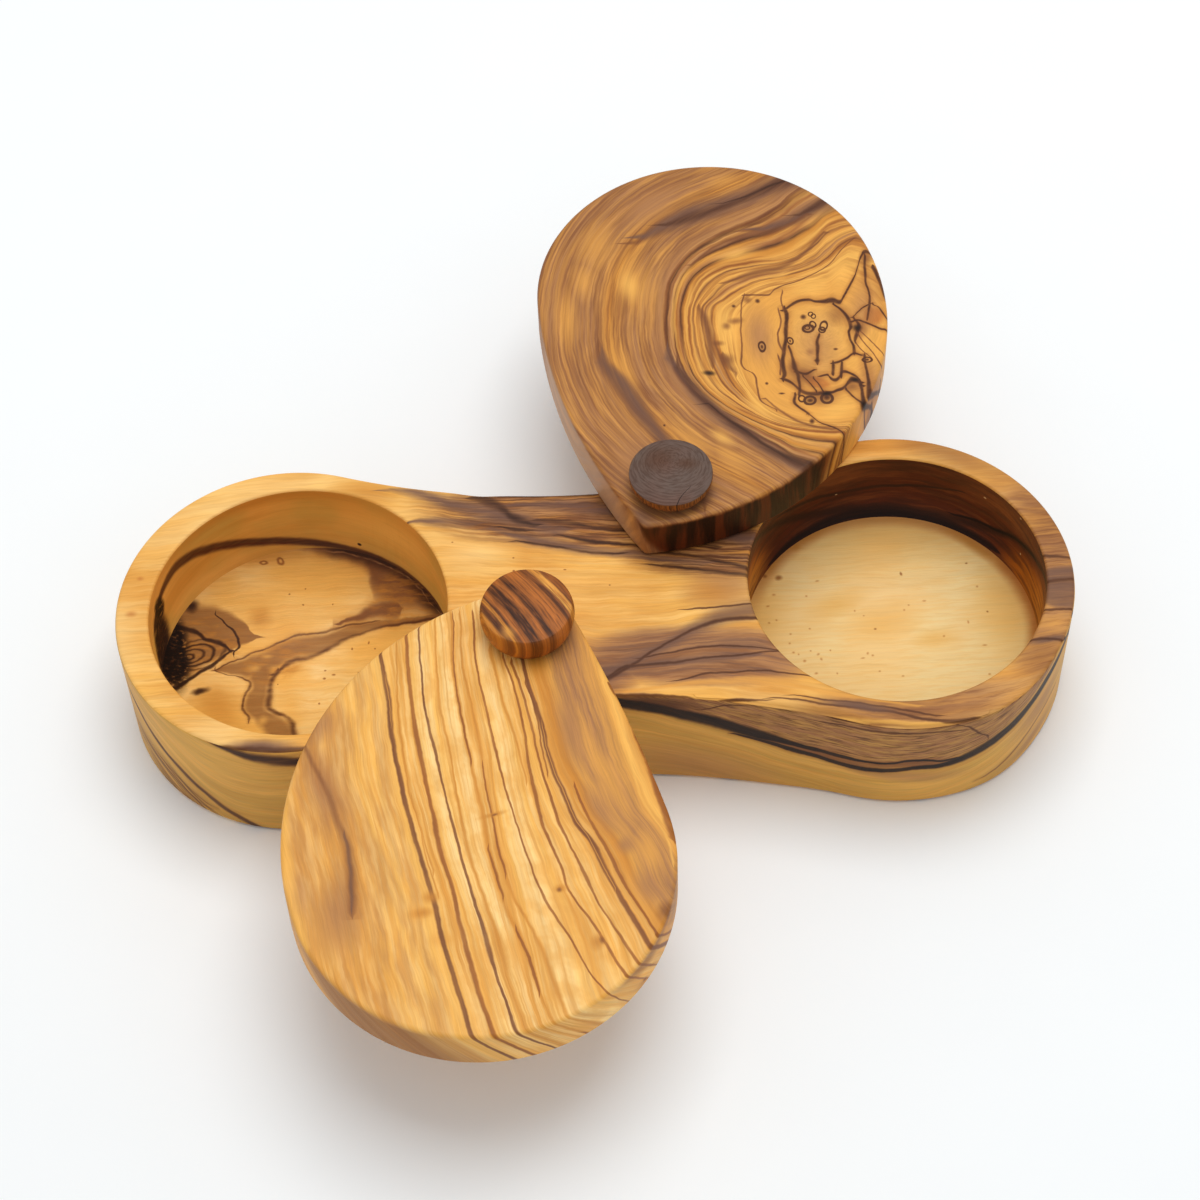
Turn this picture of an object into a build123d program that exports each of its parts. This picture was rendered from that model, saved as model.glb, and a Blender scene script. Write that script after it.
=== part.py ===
from build123d import *
import math
import os

# Double spice box of olive wood, in millimetres. X runs along the box, Y to the back, Z up.
# The origin is on the underside, midway between the two wells.
# The lids are drawn swung open: the left one to the front, the right one to the back.

# Body
BODY_HEIGHT = 36.5
WELL_RADIUS = 37.5
WELL_DEPTH = 25.0
WELL_X = 75.3
LEFT_END = Vector(-77.9, 0.5)
LEFT_END_RADIUS = 43.3
RIGHT_END = Vector(74.7, -0.6)
RIGHT_END_RADIUS = 45.0
WAIST_ARC_RADIUS = 193.0
FOOT_EDGE = 1.2
RIM_EDGE = 0.7
WELL_EDGE = 0.5

# Lids: each teardrop is a round end, two long flanks tangent to it, and a rounded tip
LID_THICKNESS = 12.7
LID_GAP = 0.2
LID_EDGE = 0.7
TIP_RADIUS = 2.0
LEFT_PIVOT = Vector(-17.6, -18.6)
LEFT_LID_CENTRE = Vector(-30.9, -84.3)
LEFT_LID_RADIUS = 45.5
LEFT_LID_TIP = Vector(-11.0, -5.4)
LEFT_LID_FLANKS = (446.0, 71.5)
RIGHT_PIVOT = Vector(19.9, 22.4)
RIGHT_LID_CENTRE = Vector(33.9, 86.8)
RIGHT_LID_RADIUS = 45.3
RIGHT_LID_TIP = Vector(12.4, 10.4)
RIGHT_LID_FLANKS = (151.0, 69.3)

# Pivot dowels: glued into the body and the knob, a running fit in the lid
PIN_RADIUS = 4.0
PIN_CLEARANCE = 0.05
PIN_IN_BODY = 20.0
PIN_IN_KNOB = 4.0
PIN_END_BEVEL = 0.6

# Knobs: half profiles turned about the pivot
KNOB_GAP = 0.4
LEFT_KNOB_BASE_RADIUS = 9.8
LEFT_KNOB_RADIUS = 11.55
LEFT_KNOB_FACE_RADIUS = 10.9
LEFT_KNOB_WIDEST = 5.6
LEFT_KNOB_EDGE_HEIGHT = 8.4
LEFT_KNOB_CROWN_RADIUS = 7.0
LEFT_KNOB_HEIGHT = 9.2
RIGHT_KNOB_BASE_RADIUS = 7.6
RIGHT_KNOB_RADIUS = 10.55
RIGHT_KNOB_EDGE_LOW = 4.3
RIGHT_KNOB_EDGE_HIGH = 5.1
RIGHT_KNOB_CROWN_RADIUS = 5.0
RIGHT_KNOB_HEIGHT = 6.7

RIM_Z = BODY_HEIGHT
FLOOR_Z = BODY_HEIGHT - WELL_DEPTH
LID_Z = RIM_Z + LID_GAP
LID_TOP_Z = LID_Z + LID_THICKNESS
KNOB_Z = LID_TOP_Z + KNOB_GAP
PIN_Z = RIM_Z - PIN_IN_BODY


def arc_between(centre, radius, start, end):
    """Draw the short arc of a circle from start to end."""
    middle = centre + ((start - centre) + (end - centre)).normalized() * radius
    return ThreePointArc(start, middle, end)


def arc_around(centre, radius, start, end, away_from):
    """Draw the long arc of a circle from start to end, on the side away from a point."""
    far = centre + (centre - away_from).normalized() * radius
    return ThreePointArc(start, far, end)


def third_corner(first, second, from_first, from_second, side):
    """The point at two given distances from two points, on the left (+1) or right (-1)."""
    base = second - first
    along = (base.length ** 2 + from_first ** 2 - from_second ** 2) / (2 * base.length)
    across = math.sqrt(from_first ** 2 - along ** 2)
    direction = base.normalized()
    return first + direction * along + Vector(-direction.Y, direction.X) * (side * across)


def draw_waisted_outline():
    """Two round ends joined by a hollow arc on each side, every arc tangent to the next."""
    reach_left = WAIST_ARC_RADIUS + LEFT_END_RADIUS
    reach_right = WAIST_ARC_RADIUS + RIGHT_END_RADIUS
    back = third_corner(LEFT_END, RIGHT_END, reach_left, reach_right, 1)
    front = third_corner(LEFT_END, RIGHT_END, reach_left, reach_right, -1)
    left_back = LEFT_END + (back - LEFT_END).normalized() * LEFT_END_RADIUS
    left_front = LEFT_END + (front - LEFT_END).normalized() * LEFT_END_RADIUS
    right_back = RIGHT_END + (back - RIGHT_END).normalized() * RIGHT_END_RADIUS
    right_front = RIGHT_END + (front - RIGHT_END).normalized() * RIGHT_END_RADIUS
    arc_around(LEFT_END, LEFT_END_RADIUS, left_back, left_front, RIGHT_END)
    arc_between(front, WAIST_ARC_RADIUS, left_front, right_front)
    arc_around(RIGHT_END, RIGHT_END_RADIUS, right_front, right_back, LEFT_END)
    arc_between(back, WAIST_ARC_RADIUS, right_back, left_back)


def draw_teardrop(centre, radius, tip, flanks):
    """A round end and two long flanks that leave it at a tangent and meet at the tip."""
    ends = []
    for side, flank in zip((1, -1), flanks):
        bend = third_corner(centre, tip, flank - radius, flank, side)
        leave = centre + (centre - bend).normalized() * radius
        arc_between(bend, flank, leave, tip)
        ends.append(leave)
    arc_around(centre, radius, ends[0], ends[1], tip)


# Body: one block with two drilled wells and a blind hole for each pivot dowel
with BuildPart() as box_body:
    with BuildSketch(Plane.XY):
        with BuildLine():
            draw_waisted_outline()
        make_face()
    extrude(amount=BODY_HEIGHT)
    chamfer(box_body.edges().group_by(Axis.Z)[0], FOOT_EDGE)
    chamfer(box_body.edges().group_by(Axis.Z)[-1], RIM_EDGE)
    with BuildSketch(Plane.XY.offset(FLOOR_Z)):
        with Locations((-WELL_X, 0), (WELL_X, 0)):
            Circle(WELL_RADIUS)
    extrude(amount=WELL_DEPTH, mode=Mode.SUBTRACT)
    rim_face = box_body.faces().filter_by(Axis.Z).sort_by(Axis.Z)[-1]
    chamfer(rim_face.inner_wires().edges(), WELL_EDGE)
    with BuildSketch(Plane.XY.offset(PIN_Z)):
        with Locations(LEFT_PIVOT, RIGHT_PIVOT):
            Circle(PIN_RADIUS)
    extrude(amount=PIN_IN_BODY, mode=Mode.SUBTRACT)


def make_lid(centre, radius, tip, flanks, pivot):
    """One teardrop board with eased edges and a through hole at the pivot."""
    with BuildPart() as lid:
        with BuildSketch(Plane.XY.offset(LID_Z)) as outline:
            with BuildLine():
                draw_teardrop(centre, radius, tip, flanks)
            make_face()
            fillet(outline.vertices().sort_by_distance(tip)[0], TIP_RADIUS)
        extrude(amount=LID_THICKNESS)
        chamfer(lid.faces().filter_by(Axis.Z).edges(), LID_EDGE)
        with BuildSketch(Plane.XY.offset(LID_Z)):
            with Locations(pivot):
                Circle(PIN_RADIUS + PIN_CLEARANCE)
        extrude(amount=LID_THICKNESS, mode=Mode.SUBTRACT)
    return lid


left_lid = make_lid(LEFT_LID_CENTRE, LEFT_LID_RADIUS, LEFT_LID_TIP, LEFT_LID_FLANKS, LEFT_PIVOT)
right_lid = make_lid(RIGHT_LID_CENTRE, RIGHT_LID_RADIUS, RIGHT_LID_TIP, RIGHT_LID_FLANKS, RIGHT_PIVOT)


def turning_plane(pivot):
    """The upright plane of a half profile, with the pivot line as its upright axis."""
    return Plane(origin=(pivot.X, pivot.Y, KNOB_Z), x_dir=(1, 0, 0), z_dir=(0, -1, 0))


# Left knob: a thick button, widest below its face, rounded in towards the lid
with BuildPart() as left_knob:
    with BuildSketch(turning_plane(LEFT_PIVOT)):
        with BuildLine():
            foot = Line((0, 0), (LEFT_KNOB_BASE_RADIUS, 0))
            widest = (LEFT_KNOB_RADIUS, LEFT_KNOB_WIDEST)
            TangentArc(widest, foot @ 1, tangent=(0, -1))
            shoulder = Line(widest, (LEFT_KNOB_FACE_RADIUS, LEFT_KNOB_EDGE_HEIGHT))
            crown = Polyline(shoulder @ 1, (LEFT_KNOB_CROWN_RADIUS, LEFT_KNOB_HEIGHT), (0, LEFT_KNOB_HEIGHT))
            Line(crown @ 1, foot @ 0)
        make_face()
    revolve(axis=Axis((LEFT_PIVOT.X, LEFT_PIVOT.Y, 0), (0, 0, 1)))
    with BuildSketch(Plane.XY.offset(KNOB_Z)):
        with Locations(LEFT_PIVOT):
            Circle(PIN_RADIUS)
    extrude(amount=PIN_IN_KNOB, mode=Mode.SUBTRACT)

# Right knob: a low cap with a thin edge, its side drawn in under the edge
with BuildPart() as right_knob:
    with BuildSketch(turning_plane(RIGHT_PIVOT)):
        with BuildLine():
            foot = Line((0, 0), (RIGHT_KNOB_BASE_RADIUS, 0))
            edge = Line((RIGHT_KNOB_RADIUS, RIGHT_KNOB_EDGE_LOW), (RIGHT_KNOB_RADIUS, RIGHT_KNOB_EDGE_HIGH))
            TangentArc(edge @ 0, foot @ 1, tangent=(0, -1))
            crown = Polyline(edge @ 1, (RIGHT_KNOB_CROWN_RADIUS, RIGHT_KNOB_HEIGHT), (0, RIGHT_KNOB_HEIGHT))
            Line(crown @ 1, foot @ 0)
        make_face()
    revolve(axis=Axis((RIGHT_PIVOT.X, RIGHT_PIVOT.Y, 0), (0, 0, 1)))
    with BuildSketch(Plane.XY.offset(KNOB_Z)):
        with Locations(RIGHT_PIVOT):
            Circle(PIN_RADIUS)
    extrude(amount=PIN_IN_KNOB, mode=Mode.SUBTRACT)


def make_pin(pivot):
    """One dowel from the bottom of its hole in the body to the top of its hole in the knob."""
    with BuildPart() as pin:
        with BuildSketch(Plane.XY.offset(PIN_Z)):
            with Locations(pivot):
                Circle(PIN_RADIUS)
        extrude(amount=KNOB_Z + PIN_IN_KNOB - PIN_Z)
        chamfer(pin.edges().group_by(Axis.Z)[0], PIN_END_BEVEL)
    return pin


left_pin = make_pin(LEFT_PIVOT)
right_pin = make_pin(RIGHT_PIVOT)

pieces = {
    "box_body": box_body,
    "left_lid": left_lid,
    "right_lid": right_lid,
    "left_knob": left_knob,
    "right_knob": right_knob,
    "left_pin": left_pin,
    "right_pin": right_pin,
}
os.makedirs("parts", exist_ok=True)
for name, piece in pieces.items():
    piece.part.label = name
    export_step(piece.part, f"parts/{name}.step")
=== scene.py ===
"""A double spice box of olive wood: two drilled wells in one waisted block, each under a teardrop lid.

Lengths in fields and figures are millimetres. Meshes are made in metres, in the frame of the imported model.
"""
import logging
import math
from dataclasses import KW_ONLY, dataclass
from enum import Enum

import bmesh
import bpy
from mathutils import Matrix, Vector


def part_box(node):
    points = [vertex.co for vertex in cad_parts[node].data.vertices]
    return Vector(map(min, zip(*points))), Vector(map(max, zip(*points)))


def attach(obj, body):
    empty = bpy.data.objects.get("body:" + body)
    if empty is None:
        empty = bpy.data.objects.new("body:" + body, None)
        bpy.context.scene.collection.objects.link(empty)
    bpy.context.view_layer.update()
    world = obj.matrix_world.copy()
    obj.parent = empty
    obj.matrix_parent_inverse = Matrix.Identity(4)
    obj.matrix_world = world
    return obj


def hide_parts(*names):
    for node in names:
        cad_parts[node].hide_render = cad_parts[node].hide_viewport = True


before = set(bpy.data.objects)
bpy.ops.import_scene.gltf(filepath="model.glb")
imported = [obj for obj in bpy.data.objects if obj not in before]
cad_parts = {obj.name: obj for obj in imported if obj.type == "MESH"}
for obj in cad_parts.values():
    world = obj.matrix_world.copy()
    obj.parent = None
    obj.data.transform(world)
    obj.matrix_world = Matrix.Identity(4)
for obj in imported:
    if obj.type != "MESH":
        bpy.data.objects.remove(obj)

log = logging.getLogger("spice_box")

Socket = bpy.types.NodeSocket
BMesh = bmesh.types.BMesh
Pair = tuple[float, float]

MM = 0.001
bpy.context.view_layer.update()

# The map on the block's upright faces, and where it begins: an angle in the wells, a length in mm outside
WOOD_MAP = "wood"
WELL_SEAM = math.radians(70)
SIDE_SEAM = 441.0

# Tones are mixed as roots of this power, so that half a stain looks half as dark
EVEN = 2.2
# The thinnest a drawn line gets, in mm, and how strongly its halo shows
HAIR = 0.01
HALO_SHARE = 0.4
# Drawn lines stray at three sizes, each in mm with its share of the wobble
STRAYS = ((14.0, 1.0), (3.5, 0.35), (1.2, 0.12))
# A flow around a centre counts radii up to the first and lengths at the second, in mm
RADIAL_SPAN = 100.0
RADIAL_LENGTH = 40.0

# Corners of an outline nearer than this, in mm, are one
WELD = 0.05
# Lengths below the first, in mm, are next to nothing, and below the second nothing
NEAR = 0.1
NOTHING = 0.001
# A face whose normal has less than the first of z is upright, and one with more than the second level
UPRIGHT = 0.7
LEVEL = 0.999
# Edges sharper than this are eased, in this many steps
SHARP = math.radians(60)
EASE_STEPS = 5


class Tone(Enum):
    """The colours of olive wood, from sapwood to the black of its veins; some also serve as painted light and
    shade.
    """

    PALE = "FFE1A0"
    CREAM = "FFD68F"
    HONEY = "F2B557"
    GOLD = "E2A048"
    OLIVE = "CB9A45"
    AMBER = "C98330"
    ORANGE = "B96B2B"
    EMBER = "B4600F"
    TAN = "AC774A"
    BARK = "93602F"
    RUSSET = "8F5121"
    BROWN = "744324"
    MAUVE = "6C4C40"
    ASH = "65534A"
    CHESTNUT = "56230A"
    UMBER = "4C2813"
    DARK = "32180A"
    BLACK = "170903"
    BEECH = "D9B37E"
    # Rose serves only as painted light on a lid's left side
    ROSE = "D0AC8E"


def linear(tone: Tone) -> tuple[float, float, float, float]:
    """Turn a tone's sRGB hex value into the linear colour that a node takes.

    Args:
        tone: the colour.

    Returns:
        Red, green, blue and alpha.
    """
    values = [int(tone.value[i:i + 2], 16) / 255 for i in (0, 2, 4)]
    return (*(v / 12.92 if v <= 0.04045 else ((v + 0.055) / 1.055) ** 2.4 for v in values), 1.0)


def stain(tone: Tone) -> tuple[float, ...]:
    """Turn a tone into the evened-out colour that a canvas mixes, so that half a stain looks half as dark."""
    return tuple(v ** (1 / EVEN) for v in linear(tone))


class Canvas:
    """One material while it is painted: its nodes, its place in mm and the evened-out colour so far."""

    # How far a seed moves noise along the layers, and how slowly noise changes downwards, per mm
    SEED_SKEW = 1.7
    CHANGE_BELOW = 0.02
    NOISE_ROUGHNESS = 0.6

    def __init__(self, name: str, low: Pair, high: Pair) -> None:
        """Start an empty material.

        Args:
            name: the material's name.
            low: the least place that the figure covers, in mm.
            high: the greatest place that it covers.
        """
        self.material = bpy.data.materials.new(name)
        self.material.use_nodes = True
        self.tree = self.material.node_tree
        self.tree.nodes.clear()
        self.low = low
        self.span = (high[0] - low[0], high[1] - low[1])
        self.colour = None
        self.made = {}

    def add(self, kind: str, *inputs, **settings) -> Socket:
        """Add a node, set it up and link what feeds it, or find the same node made before.

        Args:
            kind: the node's type without its ShaderNode prefix.
            inputs: a socket or a value for each of its open inputs in turn, None to leave one alone.
            settings: the node's own properties, its points for a curve or its stops for a ramp.

        Returns:
            The node's first open output.
        """
        feeds = [(v.node.name, v.identifier) if isinstance(v, Socket) else v for v in inputs]
        key = str((kind, feeds, settings))
        if key in self.made:
            return self.made[key]
        node = self.tree.nodes.new("ShaderNode" + kind)
        points = settings.pop("points", ())
        stops = settings.pop("stops", ())
        for name, value in settings.items():
            setattr(node, name, value)
        for socket, value in zip([s for s in node.inputs if s.enabled], inputs):
            if isinstance(value, Socket):
                self.tree.links.new(value, socket)
            elif value is not None:
                socket.default_value = value
        if points:
            curve = node.mapping.curves[0]
            while len(curve.points) < len(points):
                curve.points.new(0.0, 0.0)
            for knot, (x, y) in zip(curve.points, points):
                knot.location = (x, y)
                knot.handle_type = "AUTO_CLAMPED"
            node.mapping.use_clip = False
            node.mapping.extend = "HORIZONTAL"
            node.mapping.update()
        for i, (place, colour) in enumerate(stops):
            element = node.color_ramp.elements
            stop = element[i] if i < len(element) else element.new(place)
            stop.position = place
            stop.color = colour
        self.made[key] = next((s for s in node.outputs if s.enabled), None)
        return self.made[key]

    def locate(
        self, mapped: bool, lean: Pair, top: float, wobble: float, flow: "Flow",
    ) -> None:
        """Work out where a point lies on the figure, and along and across its growth layers.

        Args:
            mapped: whether the figure follows the piece's own map instead of its plan.
            lean: how far the layers lean sideways for each mm below the top.
            top: the height of the top.
            wobble: how far, in mm, lines stray from their drawn course.
            flow: how the growth layers run.
        """
        if mapped:
            place = self.add("UVMap", uv_map=WOOD_MAP)
        else:
            place = self.add("TexCoord").node.outputs["Object"]
        self.place = self.add("Mapping", place, None, None, (1 / MM,) * 3)
        moved = self.place
        for size, share in STRAYS:
            stir = self.add("TexNoise", self.place, 1 / size, 1.0).node.outputs["Color"]
            centred = self.add("VectorMath", stir, (0.5, 0.5, 0.5), operation="SUBTRACT")
            push = self.add("VectorMath", centred, (wobble * share * 2,) * 3, operation="MULTIPLY")
            moved = self.add("VectorMath", moved, push, operation="ADD")
        x, y, z = self.add("SeparateXYZ", moved).node.outputs
        if any(lean):
            below = self.add("Math", top, z, operation="SUBTRACT")
            x = self.add("Math", below, lean[0], x, operation="MULTIPLY_ADD")
            y = self.add("Math", below, lean[1], y, operation="MULTIPLY_ADD")
        self.x, self.y, self.z = x, y, z
        self.share = [
            self.add("MapRange", value, low, low + span, 0.0, 1.0, clamp=False)
            for value, low, span in zip((x, y), self.low, self.span)
        ]
        self.layer, self.along = flow.trace(self)
        self.unrolled = self.add("CombineXYZ", self.layer, self.along, z)

    def noise(self, width: float, length: float, detail: float, seed: float) -> Socket:
        """Noise drawn out along the growth layers.

        Args:
            width: a streak's width across the layers, in mm.
            length: its length along them.
            detail: how many finer octaves it has.
            seed: sets one such noise apart from the next.

        Returns:
            The noise, from 0 to 1.
        """
        scale = (1 / width, 1 / length, self.CHANGE_BELOW)
        stretched = self.add("Mapping", self.unrolled, (seed, seed * self.SEED_SKEW, 0), None, scale)
        return self.add("TexNoise", stretched, 1.0, detail, self.NOISE_ROUGHNESS)

    def blend(self, mask: Socket, tone: Tone, depth: float) -> None:
        """Lay a tone over the colour so far where a mask lets it through."""
        share = self.add("Math", mask, depth, operation="MULTIPLY")
        self.colour = self.add("Mix", share, self.colour, stain(tone), data_type="RGBA")


class Course(Enum):
    """The way that a flow's growth layers run."""

    ALONG_X = 0
    ALONG_Y = 1
    AROUND = 2


@dataclass(frozen=True)
class Flow:
    """The growth layers: each guide is a layer's number in mm and its drawn course.

    A guide's points are (along, across) in mm, or for a flow around a centre (degrees, radius), where
    0 degrees points to -X and 90 degrees to -Y.
    """

    course: Course
    guides: tuple[tuple[float, tuple[Pair, ...]], ...]
    centre: Pair = (0.0, 0.0)

    def trace(self, canvas: Canvas) -> tuple[Socket, Socket]:
        """Find a point's layer and its place along that layer.

        Args:
            canvas: the material being painted.

        Returns:
            The layer and the place along it, both in mm.
        """
        add = canvas.add
        if self.course is Course.AROUND:
            dx = add("Math", self.centre[0], canvas.x, operation="SUBTRACT")
            dy = add("Math", self.centre[1], canvas.y, operation="SUBTRACT")
            angle = add("Math", dy, dx, operation="ARCTAN2")
            share = add("Math", angle, 1 / math.tau, 0.5, operation="MULTIPLY_ADD")
            across = add("VectorMath", add("CombineXYZ", dx, dy), operation="LENGTH")
            low, span, start, run = 0.0, RADIAL_SPAN, -180.0, 360.0
            across = add("Math", across, span, operation="DIVIDE")
            along = add("Math", angle, RADIAL_LENGTH, operation="MULTIPLY")
        else:
            i = self.course.value
            share, along = canvas.share[i], (canvas.x, canvas.y)[i]
            across, low, span = canvas.share[1 - i], canvas.low[1 - i], canvas.span[1 - i]
            start, run = canvas.low[i], canvas.span[i]
        lines = [
            add("FloatCurve", None, share, points=sorted(
                ((a - start) / run, (c - low) / span) for a, c in points
            ))
            for _, points in self.guides
        ]
        levels = [float(level) for level, _ in self.guides]
        before = add("Math", add("Math", across, lines[0], operation="SUBTRACT"), 0.0, operation="MINIMUM")
        layer = add("Math", before, span, levels[0], operation="MULTIPLY_ADD")
        for i in range(len(lines) - 1):
            step = add("MapRange", across, lines[i], lines[i + 1], 0.0, levels[i + 1] - levels[i])
            layer = add("Math", layer, step, operation="ADD")
        after = add("Math", add("Math", across, lines[-1], operation="SUBTRACT"), 0.0, operation="MAXIMUM")
        return add("Math", after, span, layer, operation="MULTIPLY_ADD"), along


@dataclass(frozen=True)
class Mark:
    """Something that the figure shows in one tone, everywhere or only where another mark lies."""

    tone: Tone = Tone.GOLD
    depth: float = 1.0
    _: KW_ONLY
    within: "Mark | None" = None

    def mask(self, canvas: Canvas) -> Socket:
        """Where the mark shows, from 0 to 1."""
        raise NotImplementedError

    def limit(self, canvas: Canvas, share: Socket) -> Socket:
        """Cut a mask down to where the other mark lies.

        Args:
            canvas: the material being painted.
            share: the mask.

        Returns:
            What is left of it.
        """
        if self.within is None:
            return share
        shown = self.within.limit(canvas, self.within.mask(canvas))
        return canvas.add("Math", share, shown, operation="MULTIPLY")

    def paint(self, canvas: Canvas) -> None:
        """Lay the mark over the colour so far."""
        canvas.blend(self.limit(canvas, self.mask(canvas)), self.tone, self.depth)


@dataclass(frozen=True, kw_only=True)
class Veins(Mark):
    """Drawn lines or bands, each a tuple of (x, y, full width) points that goes one way.

    They may have a halo, which browns the wood some mm further.
    """

    paths: tuple[tuple[tuple[float, float, float], ...], ...]
    soft: float = 1.0
    broken: float = 0.2
    taper: float = 2.0
    halo: float = 0.0

    # The noise that breaks the lines: its width and length in mm, its octaves and seed, and its two levels
    BREAKS = (1.5, 14.0, 2.0, 3.0)
    BREAK_LEVELS = (0.35, 0.6)

    def measure(self, canvas: Canvas) -> list[tuple[Socket, Socket, float]]:
        """Find how far each line is from a point and how wide it is there.

        Args:
            canvas: the material being painted.

        Returns:
            For each line the distance, half the width and the span that both are shares of.
        """
        add, lines = canvas.add, []
        for path in self.paths:
            i = 0 if abs(path[-1][0] - path[0][0]) >= abs(path[-1][1] - path[0][1]) else 1
            share = [((p[i] - canvas.low[i]) / canvas.span[i], p) for p in path]
            across, low, span = canvas.share[1 - i], canvas.low[1 - i], canvas.span[1 - i]
            course = sorted((s, (p[1 - i] - low) / span) for s, p in share)
            line = add("FloatCurve", None, canvas.share[i], points=course)
            fade = (1 if share[-1][0] > share[0][0] else -1) * self.taper / canvas.span[i]
            widths = [(s, max(p[2], HAIR) / span / 2) for s, p in share]
            widths += [(share[0][0] - fade * n, HAIR / span) for n in (3, 1)]
            widths += [(share[-1][0] + fade * n, HAIR / span) for n in (1, 3)]
            away = add("Math", add("Math", across, line, operation="SUBTRACT"), operation="ABSOLUTE")
            lines.append((away, add("FloatCurve", None, canvas.share[i], points=sorted(widths)), span))
        return lines

    def spread(self, canvas: Canvas, lines: list, further: float, soft: float) -> Socket:
        """Draw measured lines.

        Args:
            canvas: the material being painted.
            lines: what measure found.
            further: how much wider than drawn they are on each side, in mm.
            soft: the share of half the width over which an edge fades.

        Returns:
            Where the lines run, from 0 to 1.
        """
        add, total = canvas.add, None
        for away, half, span in lines:
            shown = add("MapRange", half, HAIR / span, HAIR * 5 / span)
            wide = add("Math", half, further / span, operation="ADD") if further else half
            core = add("Math", wide, 1.0 - soft, operation="MULTIPLY")
            drawn = add("MapRange", away, wide, core, interpolation_type="SMOOTHSTEP")
            drawn = add("Math", drawn, shown, operation="MULTIPLY")
            total = drawn if total is None else add("Math", total, drawn, operation="MAXIMUM")
        if not self.broken:
            return total
        gaps = add("MapRange", canvas.noise(*self.BREAKS), *self.BREAK_LEVELS, 1 - self.broken, 1.0)
        return add("Math", total, gaps, operation="MULTIPLY")

    def mask(self, canvas: Canvas) -> Socket:
        """Where the lines run, with soft edges and a little broken up along the layers."""
        return self.spread(canvas, self.measure(canvas), 0.0, self.soft)

    def paint(self, canvas: Canvas) -> None:
        """Lay the lines over the colour so far, with their halo below.

        Args:
            canvas: the material being painted.
        """
        lines = self.measure(canvas)
        if self.halo:
            faint = self.limit(canvas, self.spread(canvas, lines, self.halo, 1.0))
            canvas.blend(faint, Tone.RUSSET, self.depth * HALO_SHARE)
        drawn = self.limit(canvas, self.spread(canvas, lines, 0.0, self.soft))
        canvas.blend(drawn, self.tone, self.depth)


@dataclass(frozen=True, kw_only=True)
class Spots(Mark):
    """Ovals: each is x, y, the two half sizes and, if any, a turn in degrees. Hollow ones are rings."""

    ovals: tuple[tuple[float, ...], ...]
    soft: float = 1.0
    hollow: float = 0.0

    def mask(self, canvas: Canvas) -> Socket:
        """Draw the ovals.

        Args:
            canvas: the material being painted.

        Returns:
            Where they lie, from 0 to 1.
        """
        add, total = canvas.add, None
        place = add("CombineXYZ", canvas.x, canvas.y, 1.0)
        for x, y, wide, high, *turn in self.ovals:
            angle = math.radians(turn[0]) if turn else 0.0
            cos, sin = math.cos(angle), math.sin(angle)
            rows = ((cos / wide, sin / wide, -(x * cos + y * sin) / wide),
                    (-sin / high, cos / high, (x * sin - y * cos) / high))
            u, v = (add("VectorMath", place, row, operation="DOT_PRODUCT") for row in rows)
            squared = add("Math", v, v, operation="MULTIPLY")
            squared = add("Math", u, u, squared, operation="MULTIPLY_ADD")
            reached = add("Math", squared, operation="SQRT")
            if self.hollow:
                reached = add("Math", reached, 1 - self.hollow / 2, operation="SUBTRACT")
                reached = add("Math", add("Math", reached, operation="ABSOLUTE"), 2 / self.hollow,
                              operation="MULTIPLY")
            drawn = add("MapRange", reached, 1.0, 1.0 - self.soft, interpolation_type="SMOOTHSTEP")
            total = drawn if total is None else add("Math", total, drawn, operation="MAXIMUM")
        return total


@dataclass(frozen=True, kw_only=True)
class Zone(Mark):
    """A stretch of growth layers, from one number to another, with soft borders."""

    first: float
    last: float
    border: float = 1.0

    def mask(self, canvas: Canvas) -> Socket:
        """Pick out those layers.

        Args:
            canvas: the material being painted.

        Returns:
            Where they lie, from 0 to 1.
        """
        middle, half = (self.first + self.last) / 2, (self.last - self.first) / 2
        away = canvas.add("Math", canvas.layer, middle, operation="SUBTRACT")
        away = canvas.add("Math", away, operation="ABSOLUTE")
        return canvas.add("MapRange", away, half + self.border, half - self.border)


@dataclass(frozen=True, kw_only=True)
class Below(Mark):
    """Everything below a height, with a soft border."""

    height: float
    border: float = 0.5

    def mask(self, canvas: Canvas) -> Socket:
        """Where the piece lies below that height."""
        return canvas.add("MapRange", canvas.z, self.height + self.border, self.height - self.border)


@dataclass(frozen=True, kw_only=True)
class Streaks(Mark):
    """Chance streaks along the growth layers."""

    width: float
    length: float
    cover: float = 0.5
    soft: float = 0.12
    seed: float = 0.0

    # The levels of noise that nothing and that all of it lies above, near enough
    HIGHEST = 0.72
    LOWEST = 0.28

    def mask(self, canvas: Canvas) -> Socket:
        """Draw the streaks.

        Args:
            canvas: the material being painted.

        Returns:
            Where they run, from 0 to 1.
        """
        level = canvas.noise(self.width, self.length, 3.0, self.seed)
        edge = self.HIGHEST - (self.HIGHEST - self.LOWEST) * self.cover
        low, high = edge - self.soft, edge + self.soft
        return canvas.add("MapRange", level, low, high, interpolation_type="SMOOTHSTEP")


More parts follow.
